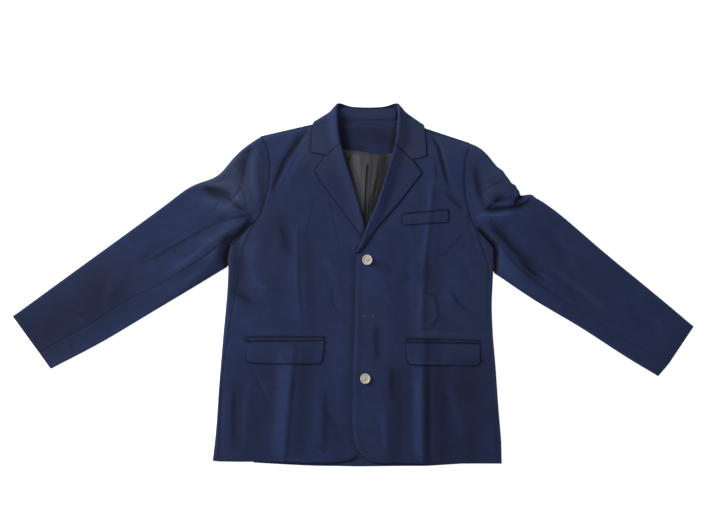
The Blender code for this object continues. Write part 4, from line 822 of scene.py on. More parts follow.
def painted_shading_group() -> bpy.types.NodeTree:
    """Build the painted shade and highlight along folds, and the painted sheen where the nap catches the
    light.

    Returns:
        A node group that darkens a colour as painted shade in the folds' hollows, lightens it as painted
        highlight on their crests, and greys it as painted sheen.
    """
    sheet, given, put_out = new_group(
        "painted_shading", {"Color": "Color", "Tone": "Float", "Nap": "Float", "Painted Sheen Colour": "Color"},
        {"Color": "Color"})
    # the Nap input carries the painted sheen, mixed towards its colour, and the Tone input the painted
    # shade and highlight
    with_sheen = sheet.mix(given["Nap"], given["Color"], given["Painted Sheen Colour"])
    power = sheet.math("POWER", TONE_BASE, given["Tone"])
    scaled = sheet.add("ShaderNodeVectorMath", {0: with_sheen, "Scale": power}, operation="SCALE")
    sheet.feed(put_out, {"Color": scaled.outputs["Vector"]})
    return sheet.tree


def new_material(name: str) -> tuple[bpy.types.Material, NodeSheet, bpy.types.Node]:
    """Start a material.

    Args:
        name: its name.

    Returns:
        The material, its sheet and its Principled BSDF.
    """
    made = bpy.data.materials.new(name)
    made.use_nodes = True
    return made, NodeSheet(made.node_tree), made.node_tree.nodes["Principled BSDF"]


@dataclass(frozen=True)
class ClothFinish:
    """A woven cloth: its colours, weave and gloss."""

    name: str
    dark: Colour
    light: Colour
    dye_far: Colour
    # the colour that the painted sheen mixes towards
    pale: Colour
    threads_per_m: float
    nap: float
    roughness: float
    sheen: float
    sheen_tint: Colour
    bump_m: float
    bump_strength: float = 0.55
    roughness_spread: float = 0.05
    sheen_roughness: float = 0.4
    specular: float = 0.22
    dye_from: float = 0.35
    dye_to: float = 0.7
    dye_most: float = 0.55

    def material(self, turn: float, weave: bpy.types.NodeTree,
                 tones: bpy.types.NodeTree) -> bpy.types.Material:
        """Make the material of one piece.

        Args:
            turn: how far the piece's grain is turned from the body's, in degrees.
            weave: the shared weave.
            tones: the shared painted shade, highlight and sheen.

        Returns:
            The new material.
        """
        made, sheet, shader = new_material(f"{self.name}_{round(turn)}" if turn else self.name)
        grain = sheet.add("ShaderNodeMapping", {"Vector": sheet.object_place(),
                                                "Rotation": (0.0, 0.0, math.radians(turn))})
        woven = sheet.add("ShaderNodeGroup", {
            "Vector": grain.outputs["Vector"], "Threads": self.threads_per_m, "Nap": self.nap,
        }, node_tree=weave).outputs
        yarns = sheet.mix(woven["Shade"], (*self.dark, 1.0), (*self.light, 1.0))
        clouds = sheet.add("ShaderNodeMapRange", {"Value": woven["Dye"], "From Min": self.dye_from,
                                                  "From Max": self.dye_to, "To Max": self.dye_most})
        # the piece's painted shade, highlight and sheen, stored on its mesh
        toned = sheet.add("ShaderNodeGroup", {
            "Color": sheet.mix(clouds.outputs["Result"], yarns, (*self.dye_far, 1.0)),
            "Painted Sheen Colour": (*self.pale, 1.0), "Tone": sheet.attribute("painted_shading"),
            "Nap": sheet.attribute("painted_sheen"),
        }, node_tree=tones)
        rough = sheet.add("ShaderNodeMapRange", {
            "Value": woven["Shade"], "To Min": self.roughness - self.roughness_spread,
            "To Max": self.roughness + self.roughness_spread})
        sheet.feed(shader, {
            "Base Color": toned.outputs["Color"], "Roughness": rough.outputs["Result"],
            "Normal": sheet.bump(woven["Height"], self.bump_strength, self.bump_m),
            "Sheen Weight": self.sheen, "Sheen Roughness": self.sheen_roughness,
            "Sheen Tint": (*self.sheen_tint, 1.0), "Specular IOR Level": self.specular})
        return made


@dataclass(frozen=True)
class ResinFinish:
    """The mottled resin of a button."""

    name: str
    dark: Colour
    light: Colour
    mottle_scale: float = 170.0
    mottle_detail: float = 5.0
    mottle_distortion: float = 1.2
    dark_at: float = 0.32
    light_at: float = 0.68
    bump_strength: float = 0.1
    bump_m: float = 0.0001
    roughness: float = 0.34
    coat: float = 0.25
    coat_roughness: float = 0.25

    def material(self) -> bpy.types.Material:
        """Make the resin's material.

        Returns:
            The new material.
        """
        made, sheet, shader = new_material(self.name)
        mottle = sheet.noise(sheet.object_place(), self.mottle_scale, self.mottle_detail,
                             Distortion=self.mottle_distortion)
        ramp = sheet.add("ShaderNodeValToRGB", {"Fac": mottle})
        for stop, place, colour in zip(ramp.color_ramp.elements, (self.dark_at, self.light_at),
                                       (self.dark, self.light)):
            stop.position = place
            stop.color = (*colour, 1.0)
        sheet.feed(shader, {
            "Base Color": ramp.outputs["Color"], "Roughness": self.roughness,
            "Normal": sheet.bump(mottle, self.bump_strength, self.bump_m),
            "Coat Weight": self.coat, "Coat Roughness": self.coat_roughness})
        return made


@dataclass(frozen=True)
class ThreadFinish:
    """A sewing thread, with the light and dark of its twist."""

    name: str
    colour: Colour
    dark_share: float = 0.7
    light_share: float = 1.25
    ply_scale: float = 1400.0
    ply_detail: float = 2.0
    bump_strength: float = 0.5
    bump_m: float = 0.0001
    roughness: float = 0.6

    def material(self) -> bpy.types.Material:
        """Make the thread's material.

        Returns:
            The new material.
        """
        made, sheet, shader = new_material(self.name)
        ply = sheet.noise(sheet.object_place(), self.ply_scale, self.ply_detail)
        dark, light = ((*[part * share for part in self.colour], 1.0)
                       for share in (self.dark_share, self.light_share))
        sheet.feed(shader, {
            "Base Color": sheet.mix(ply, dark, light), "Roughness": self.roughness,
            "Normal": sheet.bump(ply, self.bump_strength, self.bump_m)})
        return made


SUITING = ClothFinish(
    name="navy_suiting", dark=(0.0100, 0.0182, 0.059), light=(0.0222, 0.0365, 0.112),
    dye_far=(0.020, 0.029, 0.072), pale=(0.040, 0.053, 0.100), threads_per_m=1150.0, nap=0.6,
    roughness=0.82, sheen=0.08, sheen_tint=(0.55, 0.68, 1.0), bump_m=0.00022)
LINING = ClothFinish(
    name="charcoal_lining", dark=(0.034, 0.034, 0.041), light=(0.078, 0.080, 0.096),
    dye_far=(0.054, 0.053, 0.062), pale=(0.12, 0.12, 0.14), threads_per_m=2400.0, nap=0.2, roughness=0.5,
    sheen=0.03, sheen_tint=(0.9, 0.92, 1.0), bump_m=0.00008)
RESIN = ResinFinish("cream_button", (0.50, 0.43, 0.34), (0.80, 0.74, 0.66))
CREAM_THREAD = ThreadFinish("cream_thread", (0.52, 0.46, 0.38))
NAVY_THREAD = ThreadFinish("navy_thread", (0.030, 0.041, 0.092))
PALE_THREAD = ThreadFinish("pale_thread", (0.13, 0.14, 0.19))
# near-black painted shade for the buttonhole's slit and the armhole strips, made as a thread finish
SLIT_SHADE = ThreadFinish("slit_shade", (0.004, 0.005, 0.012))


class Finishes:
    """The blazer's materials, each made once."""

    def __init__(self) -> None:
        """Build the shared weave and the plain finishes."""
        self.weave = twill_group()
        self.tones = painted_shading_group()
        self.made: dict[tuple[str, float], bpy.types.Material] = {}
        self.button = RESIN.material()
        self.thread_cream = CREAM_THREAD.material()
        self.thread_navy = NAVY_THREAD.material()
        self.thread_pale = PALE_THREAD.material()
        self.shade = SLIT_SHADE.material()

    def cloth(self, finish: ClothFinish, turn: float = 0.0) -> bpy.types.Material:
        """Make a cloth's material once for each turn of its grain.

        Args:
            finish: the cloth.
            turn: how far its grain is turned from the body's, in degrees.

        Returns:
            The material.
        """
        key = (finish.name, turn)
        if key not in self.made:
            self.made[key] = finish.material(turn, self.weave, self.tones)
        return self.made[key]


class Ground:
    """What pieces lie on: the solids' surface, and the dressed surface that took its place."""

    def __init__(self) -> None:
        """Start with nothing to lie on."""
        self.solids: list[bpy.types.Object] = []
        self.dressed: list[bpy.types.Object] = []
        self.trees: list[BVHTree] = []

    def add(self, solid: bpy.types.Object, dressed: bpy.types.Object) -> None:
        """Add a panel's solid and the piece that replaces it."""
        self.solids.append(solid)
        self.dressed.append(dressed)
        self.trees = []

    @staticmethod
    def tree_of(pieces: list[bpy.types.Object]) -> BVHTree:
        """Make one search tree over several pieces.

        Args:
            pieces: the pieces to search.

        Returns:
            The tree.
        """
        form = bmesh.new()
        for piece in pieces:
            form.from_mesh(piece.data)
        tree = BVHTree.FromBMesh(form)
        form.free()
        return tree

    def heights(self, x: float, y: float) -> list[float | None]:
        """Find how high both surfaces are at a place.

        Args:
            x: the place along X, in metres.
            y: the place along Y, in metres.

        Returns:
            The height of the solids and of the dressed pieces in metres, each None where there is none.
        """
        self.trees = self.trees or [self.tree_of(self.solids), self.tree_of(self.dressed)]
        hits = [tree.ray_cast(Vector((x, y, RAY_FROM)), Vector((0.0, 0.0, -1.0)))[0]
                for tree in self.trees]
        return [None if hit is None else hit.z for hit in hits]

    def change(self, x: float, y: float) -> float:
        """How much higher the dressed surface is than the solids' in metres, or 0 off them."""
        before, after = self.heights(x, y)
        return 0.0 if before is None or after is None else after - before

    def top(self, x: float, y: float) -> float:
        """The dressed surface's height at a place in metres, or 0 off it."""
        return self.heights(x, y)[1] or 0.0

    def paint_contact_shade(self, laid: list[bpy.types.Object], reach: float, amount: float) -> None:
        """Paint shade on the panels close to the outlines of what lies on them, as a contact shadow.

        Args:
            laid: the pieces that lie on the panels.
            reach: how far from an outline the painted shade reaches, in millimetres.
            amount: how dark the painted shade is at the outline.
        """
        rows = np.vstack([positions(piece.data)[rim_vertices(piece.data)] for piece in laid])
        tree = plan_tree(rows, np.arange(len(rows)))
        for piece in self.dressed:
            layer = piece.data.attributes["painted_shading"]
            values = np.empty(len(piece.data.vertices))
            layer.data.foreach_get("value", values)
            for index, place in enumerate(positions(piece.data)):
                away = tree.find((place[0], place[1], 0.0))[2]
                if away < reach:
                    values[index] -= amount * float(smooth(1.0 - away / reach))
            layer.data.foreach_set("value", values)


@dataclass(frozen=True)
class Cut:
    """What a maker cuts for a piece: the cloth's width and length in metres, and how it is held."""

    width: float
    length: float
    held: str = "laid"
    rests_on: tuple[str, ...] = ()


@dataclass
class ClothPiece:
    """A piece of cloth on the form of its solid."""

    node: str
    cut: Cut
    finish: ClothFinish = SUITING
    slot: str = "navy_wool"
    fineness: Fineness = Fineness.PLAIN
    creases: tuple[Crease, ...] = ()
    # strokes of painted shade and highlight
    tones: tuple[Crease, ...] = ()
    wall: float = 1.6
    turn: float = 0.0
    waves: float = 1.0
    ease: float = 1.0
    ease_reach: float = EASE_REACH
    fold_share: float = 1.0
    lean: float = 0.0
    lean_along: Line = ()
    nudges: tuple[Nudge, ...] = ()
    drawn_out: bool = False
    follows: Ground | None = None
    mesh: bpy.types.Mesh = field(init=False, repr=False)
    rim: np.ndarray = field(init=False, repr=False)

    def build(self, nodes: Nodes, finishes: Finishes) -> bpy.types.Object:
        """Args:
            nodes: the solids by name.
            finishes: the materials.

        Returns:
            The finished piece.
        """
        piece = self.finer_copy(nodes[self.node])
        self.mesh = piece.data
        self.rim = rim_vertices(self.mesh)
        self.even_out()
        self.ease_seams()
        self.move()
        self.reach_break()
        self.follow()
        self.close_seams()
        self.nudge()
        down = self.lean_edges()
        self.keep_over_floor()
        self.paint(down)
        self.mesh.materials.clear()
        self.mesh.materials.append(finishes.cloth(self.finish, self.turn))
        make_active(piece)
        bpy.ops.object.shade_smooth_by_angle(angle=CLOTH_SMOOTH)
        self.sharpen_rim()
        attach(piece, BODY)
        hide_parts(self.node)
        return piece

    def finer_copy(self, solid: bpy.types.Object) -> bpy.types.Object:
        """Copy a solid's mesh, join its triangles into cells and subdivide them.

        Args:
            solid: the solid's object.

        Returns:
            The new object, with its modifier applied.
        """
        form = bmesh.new()
        form.from_mesh(solid.data)
        bmesh.ops.remove_doubles(form, verts=form.verts, dist=MERGE_WITHIN_M)
        bmesh.ops.join_triangles(form, faces=form.faces, angle_face_threshold=CELL_BEND,
                                 angle_shape_threshold=CELL_SKEW, cmp_seam=False, cmp_sharp=False,
                                 cmp_uvs=False, cmp_vcols=False, cmp_materials=False)
        self.mark_rim(form)
        piece = new_object(form, self.node + "_cloth")
        apply_modifier(piece, "SUBSURF", levels=self.fineness.value, render_levels=self.fineness.value)
        return piece

    def mark_rim(self, form: bmesh.types.BMesh) -> None:
        """Keep the rim sharp where the cloth's two sides meet its thickness, and pin its corners.

        The two sides are joined only by edges as long as the cloth is thick. A vertex on such an edge
        is on the rim, and an edge between two of them is a rim edge if the far side has it too.

        Args:
            form: the mesh that is about to be subdivided.
        """
        hard = form.edges.layers.float.new("crease_edge")
        pinned = form.verts.layers.float.new("crease_vert")
        across: dict[bmesh.types.BMVert, list[bmesh.types.BMVert]] = {}
        beside: dict[bmesh.types.BMVert, list[bmesh.types.BMVert]] = {}
        for edge in form.edges:
            if abs(edge.calc_length() / MM - self.wall) < WALL_MATCH:
                first, second = edge.verts
                across.setdefault(first, []).append(second)
                across.setdefault(second, []).append(first)
        for edge in form.edges:
            first, second = edge.verts
            if first not in across or second not in across or second in across[first]:
                continue
            if any(form.edges.get((a, b)) for a in across[first] for b in across[second] if a != b):
                edge[hard] = 1.0
                beside.setdefault(first, []).append(second)
                beside.setdefault(second, []).append(first)
        for vertex, ends in beside.items():
            ways = [end.co - vertex.co for end in ends]
            if len(ways) != 2 or math.pi - ways[0].angle(ways[1], math.pi) > CORNER_ANGLE:
                vertex[pinned] = 1.0

    def sharpen_rim(self) -> None:
        """Shade the rim's edges sharp, so that the face beside them stays evenly lit."""
        held = self.mesh.attributes
        sharp = held.get("sharp_edge") or held.new("sharp_edge", "BOOLEAN", "EDGE")
        values = np.zeros(len(self.mesh.edges), dtype=bool)
        sharp.data.foreach_get("value", values)
        sharp.data.foreach_set("value", values | (edge_creases(self.mesh) > SHARP_CREASE))

    def even_out(self) -> None:
        """Smooth the heights of the open cloth, and leave its rim and its turned edges."""
        places = positions(self.mesh)
        ends = edge_ends(self.mesh)
        count = len(places)
        each = np.ones(len(ends[0]))
        degree = neighbour_sum(count, ends, each, np.ones(count))
        free = (np.abs(vertex_normals(self.mesh)[:, 2]) > LEVEL_NORMAL) & ~self.rim
        height = places[:, 2].copy()
        for _ in range(EVEN_PASSES):
            around = neighbour_sum(count, ends, each, height) / degree
            height = np.where(free, 0.5 * height + 0.5 * around, height)
        places[:, 2] = height
        set_positions(self.mesh, places)

    def ease_seams(self) -> None:
        """Let the cloth sink a little towards its seams and edges, so that it looks sewn and pressed."""
        places = positions(self.mesh)
        marks = np.flatnonzero(self.rim & (places[:, 2] > UPPER_SIDE_LOW))
        if self.ease == 0 or not len(marks):
            return
        tree = plan_tree(places, marks)
        upper = upper_share(places[:, 2])
        near = np.zeros(len(places))
        for index in np.flatnonzero(upper > 0):
            near[index] = tree.find((places[index, 0], places[index, 1], 0.0))[2]
        places[:, 2] -= EASE_DEPTH * self.ease * smooth(1.0 - near / self.ease_reach) * upper
        set_positions(self.mesh, places)

    def move(self) -> None:
        """Add the fine creases and the slow waves to the upper side."""
        if not self.creases and self.waves == 0:
            return
        places = positions(self.mesh)
        upper = np.ones(len(places)) if self.finish is LINING else upper_share(places[:, 2])
        rise = np.zeros(len(places))
        for crease in self.creases:
            rise += crease.height * crease.strength(places[:, 0], places[:, 1])
        if self.waves:
            wave = [noise.noise((px * WAVE_PER_M * MM, py * WAVE_PER_M * MM, 0.0)) * WAVE_HEIGHT
                    + noise.noise((px * RIPPLE_PER_M * MM, py * RIPPLE_PER_M * MM, RIPPLE_SLICE))
                    * RIPPLE_HEIGHT for px, py in places[:, :2]]
            rise += np.array(wave) * self.waves
        places[:, 2] += rise * upper
        set_positions(self.mesh, places)

    def reach_break(self) -> None:
        """Draw the lower end of the over front's lapel out to where the roll begins."""
        if not self.drawn_out:
            return
        places = positions(self.mesh)
        x, y = places[:, 0], places[:, 1]
        roll_x, roll_y = np.array(ROLL_LEFT, float).T
        low = np.clip(LAPEL_FROM_Y - y, 0.0, None)
        lower = y - low * LAPEL_STRETCH
        places[:, 0] = x + np.interp(lower, roll_y, roll_x) - np.interp(y, roll_y, roll_x)
        places[:, 1] = lower
        places[:, 2] -= LAPEL_END_DROP * smooth(low / (LAPEL_FROM_Y - LAPEL_END_Y))
        set_positions(self.mesh, places)

    def follow(self) -> None:
        """Move each point as much as the surface under it was moved."""
        if self.follows is None:
            return
        places = positions(self.mesh)
        for place in places:
            place[2] += self.follows.change(place[0] * MM, place[1] * MM) / MM
        set_positions(self.mesh, places)

    def close_seams(self) -> None:
        """Move the rim out sideways, so that neighbours meet in a fine groove."""
        places = positions(self.mesh)
        aside = vertex_normals(self.mesh)[:, :2]
        length = np.linalg.norm(aside, axis=1)
        moved = self.rim & (length > SIDEWAYS_LEAST)
        places[moved, :2] += SEAM_GROW * aside[moved] / length[moved, None]
        set_positions(self.mesh, places)

    def nudge(self) -> None:
        """Move the cloth in plan where it is pinched or turned."""
        places = positions(self.mesh)
        for nudge in self.nudges:
            share = nudge.share(places[:, 0], places[:, 1])
            places[:, 0] += share * nudge.across
            places[:, 1] += share * nudge.along
        set_positions(self.mesh, places)

    def lean_edges(self) -> np.ndarray:
        """Lean the edge's wall outwards, so that its shaded side is seen from above as a fine line.

        Returns:
            How far down the wall each vertex is, from 0 on the upper rim to 1 on the lower one.
        """
        places = positions(self.mesh)
        down = np.zeros(len(places))
        if self.lean == 0:
            return down
        normals = vertex_normals(self.mesh)
        rings = (self.rim & (normals[:, 2] > 0), self.rim & (normals[:, 2] <= 0))
        trees = [plan_tree(places, np.flatnonzero(ring)) for ring in rings]
        wall = (np.abs(normals[:, 2]) < WALL_SLOPE) & ~rings[0]
        wall &= places[:, 1] < LEAN_BELOW_Y
        if self.lean_along:
            line = seam(self.lean_along, LEAN_WITHIN, 0.0)
            wall &= line.strength(places[:, 0], places[:, 1]) > LEAN_LEAST
        for index in np.flatnonzero(wall):
            spot = (places[index, 0], places[index, 1], 0.0)
            upper, lower = (tree.find(spot) for tree in trees)
            if lower[1] is None or upper[1] is None or max(lower[2], upper[2]) > WALL_IN_PLAN:
                continue
            high, low = places[upper[1], 2], places[lower[1], 2]
            if high - low > WALL_LEAST:
                down[index] = min(max((high - places[index, 2]) / (high - low), 0.0), 1.0)
        aside = normals[:, :2] / np.maximum(np.linalg.norm(normals[:, :2], axis=1), 1e-6)[:, None]
        places[:, :2] += self.lean * down[:, None] * aside
        set_positions(self.mesh, places)
        return down

    def keep_over_floor(self) -> None:
        """Raise what the smoothing left below the surface that the garment lies on."""
        places = positions(self.mesh)
        places[:, 2] = np.maximum(places[:, 2], 0.0)
        set_positions(self.mesh, places)

    def paint(self, down: np.ndarray) -> None:
        """Store the painted shade and highlight of the folds, seams and edges, and the painted sheen of
        the nap.

        Args:
            down: how far down its edge's wall each vertex is.
        """
        x, y, z = positions(self.mesh).T
        count = len(z)
        shown = vertex_normals(self.mesh)[:, 2] > SHOWN_NORMAL
        ends = edge_ends(self.mesh)
        ends = ends[:, shown[ends[0]] & shown[ends[1]]]
        apart = np.hypot(x[ends[0]] - x[ends[1]], y[ends[0]] - y[ends[1]])
        weight = 1.0 / np.maximum(apart, TONE_APART_LEAST)
        total = np.maximum(neighbour_sum(count, ends, weight, np.ones(count)), 1e-6)
        level = z.copy()
        for _ in range(TONE_PASSES):
            around = neighbour_sum(count, ends, weight, level) / total
            level = np.where(shown, (1.0 - TONE_STEP) * level + TONE_STEP * around, level)
        # painted shade in the folds' hollows and painted highlight on their crests, from the heights
        tone = np.where(shown & ~self.rim, np.clip((z - level) / TONE_SCALE, TONE_LEAST, TONE_MOST), 0.0)
        tone *= self.fold_share
        # strokes of painted shade and highlight
        for mark in self.tones:
            tone += mark.tone * mark.strength(x, y)
        # painted shade down the wall of an edge that lies on another piece
        tone -= WALL_SHADE * smooth(down * WALL_SHADE_STEEP)
        # painted sheen where the nap catches the light
        nap = np.max([np.zeros(count), *(patch.strength(x, y) for patch in SHEEN_PATCHES)], axis=0)
        for name, values in (("painted_shading", np.clip(tone, *TONE_LIMITS)), ("painted_sheen", nap)):
            self.mesh.attributes.new(name, "FLOAT", "POINT").data.foreach_set("value", values)


@dataclass
class SeamAllowanceShadeStrip:
    """The turned-in cloth behind an armhole seam, coloured near black as painted shade, so that it shows
    as a dark line in the seam and the crevice.
    """

    name: str
    line: Line
    width: float = 11.0
    height: float = 3.2
    thickness: float = 0.8
    taper_share: float = 0.97

    def build(self, finishes: Finishes) -> bpy.types.Object:
        """Make the strip along its line.

        Args:
            finishes: the materials.

        Returns:
            The strip.
        """
        knots = np.array(self.line, float)
        runs = np.gradient(knots, axis=0)
        aside = np.stack([-runs[:, 1], runs[:, 0]], axis=1)
        aside /= np.linalg.norm(aside, axis=1)[:, None]
        form = bmesh.new()
        rows = [[form.verts.new((*((knot + share * self.width * way) * MM), self.height * MM))
                 for knot, way in zip(knots, aside)] for share in (-0.5, 0.0, 0.5)]
        for lower, upper in zip(rows[:-1], rows[1:]):
            for index in range(len(knots) - 1):
                form.faces.new((lower[index], lower[index + 1], upper[index + 1], upper[index]))
        bmesh.ops.recalc_face_normals(form, faces=form.faces)
        strip = new_object(form, self.name)
        apply_modifier(strip, "SOLIDIFY", thickness=self.thickness * MM)
        bpy.ops.object.shade_smooth_by_angle(angle=STRIP_SMOOTH)
        # near-black painted shade
        strip.data.materials.append(finishes.shade)
        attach(strip, BODY)
        return strip


@dataclass
class Body:
    """The body: backs, side panels, fronts, and what shows inside the neck."""

    finishes: Finishes
    ground: Ground
    back_cut: Cut = Cut(0.245, 0.745)
    side_cut: Cut = Cut(0.135, 0.500)
    front_cut: Cut = Cut(0.330, 0.715, "laid", BACKS)
    stand_cut: Cut = Cut(0.118, 0.026)
    facing_cut: Cut = Cut(0.128, 0.072, "laid", BACKS)
    lining_cut: Cut = Cut(0.125, 0.170, "laid", BACKS)
    hem_cut: Cut = Cut(0.080, 0.031)

    def build(self, nodes: Nodes) -> list[bpy.types.Object]:
        """Make the body's pieces.

        Args:
            nodes: the solids by name.

        Returns:
            The pieces.
        """
        pieces = []
        for side in ("left", "right"):
            pieces += [piece.build(nodes, self.finishes) for piece in self.panels(side)]
            self.ground.add(nodes["front_" + side], pieces[-1])
        return pieces + [piece.build(nodes, self.finishes) for piece in self.inside()]

    def panels(self, side: str) -> list[ClothPiece]:
        """Lay out the panels of one side.

        Args:
            side: the wearer's left or right.

        Returns:
            The back, the side panel and the front.
        """
        over = side == "left"
        return [
            ClothPiece("back_" + side, self.back_cut, ease=0, waves=0),
            ClothPiece("side_panel_" + side, self.side_cut, fineness=Fineness.FINE,
                       creases=BODY_CREASES, tones=BODY_PAINTED_SHADING),
            ClothPiece("front_" + side, self.front_cut, fineness=Fineness.FINE, creases=BODY_CREASES,
                       tones=BODY_PAINTED_SHADING + (OVER_PAINTED_SHADING if over else UNDER_PAINTED_SHADE),
                       lean=EDGE_LEAN if over else 0.0, lean_along=OVER_FRONT_EDGE if over else ()),
        ]

    def inside(self) -> list[ClothPiece]:
        """Lay out what shows inside the neck and above the hem.

        Returns:
            The collar stand, the neck's facing and the two pieces of lining.
        """
        return [
            ClothPiece("collar_stand", self.stand_cut, tones=NECK_TONES, ease=0.3, waves=0.3,
                       fold_share=0.3),
            ClothPiece("back_neck_facing", self.facing_cut, tones=NECK_TONES, ease=0, waves=0.6),
            ClothPiece("back_lining", self.lining_cut, finish=LINING, slot="charcoal_lining",
                       fineness=Fineness.FINE, creases=LINING_CREASES, tones=LINING_PAINTED_SHADING, wall=1.0,
                       ease=0, waves=0),
            ClothPiece("hem_lining", self.hem_cut, finish=LINING, slot="charcoal_lining", wall=1.0,
                       ease=0, waves=0),
        ]


@dataclass
class Sleeves:
    """The two-piece sleeves."""

    finishes: Finishes
    top_cut: Cut = Cut(0.200, 0.630)
    under_cut: Cut = Cut(0.190, 0.600)
    grain_turn: float = 35.0

    def build(self, nodes: Nodes) -> list[bpy.types.Object]:
        """Make the sleeves' pieces.

        Args:
            nodes: the solids by name.

        Returns:
            The pieces.
        """
        pieces = [ClothPiece(name + side, cut, fineness=Fineness.FINE, creases=SLEEVE_CREASES,
                             tones=SLEEVE_PAINTED_SHADING, turn=turn, nudges=SLEEVE_NUDGES)
                  for side, turn in (("left", self.grain_turn), ("right", -self.grain_turn))
                  for name, cut in (("top_sleeve_", self.top_cut), ("under_sleeve_", self.under_cut))]
        return [piece.build(nodes, self.finishes) for piece in pieces]


@dataclass
class CollarAndLapels:
    """The collar's fall and the two turned-back lapels."""

    finishes: Finishes
    ground: Ground
    lapel_cut: Cut = Cut(0.092, 0.225, "folded", FRONTS)
    collar_cut: Cut = Cut(0.088, 0.345, "folded", FRONTS)
    lapel_turn: float = 24.0
    collar_turn: float = 90.0
    lapel_wall: float = 1.7
    collar_wall: float = 1.3

    def build(self, nodes: Nodes) -> list[bpy.types.Object]:
        """Make the collar and the lapels.

        Args:
            nodes: the solids by name.

        Returns:
            The lapels and the collar.
        """
        shared = {"waves": 0, "ease": 0.35, "ease_reach": 3.0, "tones": GORGE_PAINTED_SHADE, "lean": EDGE_LEAN,
                  "follows": self.ground}
        pieces = [ClothPiece("lapel_" + side, self.lapel_cut, fineness=Fineness.FINE, turn=turn,
                             wall=self.lapel_wall, fold_share=0.25, drawn_out=side == "left", **shared)
                  for side, turn in (("left", self.lapel_turn), ("right", -self.lapel_turn))]
        pieces.append(ClothPiece("collar", self.collar_cut, turn=self.collar_turn, wall=self.collar_wall,
                                 fold_share=0.2, **shared))
        return [piece.build(nodes, self.finishes) for piece in pieces]


@dataclass
class Pockets:
    """The breast welt, the flaps and the jets above them."""

    finishes: Finishes
    ground: Ground
    jet_wall: float = 0.9

    def build(self, nodes: Nodes) -> list[bpy.types.Object]:
        """Make the pocket pieces.

        Args:
            nodes: the solids by name.

        Returns:
            The welt, the flaps and the jets.
        """
        shared = {"fineness": Fineness.FINE, "tones": BODY_PAINTED_SHADING, "waves": 0, "ease": 0.45,
                  "ease_reach": 2.6, "lean": POCKET_LEAN, "nudges": FLAP_NUDGES, "follows": self.ground}
        jets = {"wall": self.jet_wall, **shared}
        pieces = [
            ClothPiece("breast_welt", Cut(0.094, 0.028, "laid", FRONTS), lean_along=WELT_SHADED,
                       **shared),
            ClothPiece("flap_left", Cut(0.152, 0.050, "laid", FRONTS), **shared),
            ClothPiece("flap_right", Cut(0.162, 0.050, "laid", FRONTS), **shared),
            ClothPiece("jet_left", Cut(0.152, 0.010, "laid", FRONTS), **jets),
            ClothPiece("jet_right", Cut(0.156, 0.010, "laid", FRONTS), **jets),
        ]
        return [piece.build(nodes, self.finishes) for piece in pieces]


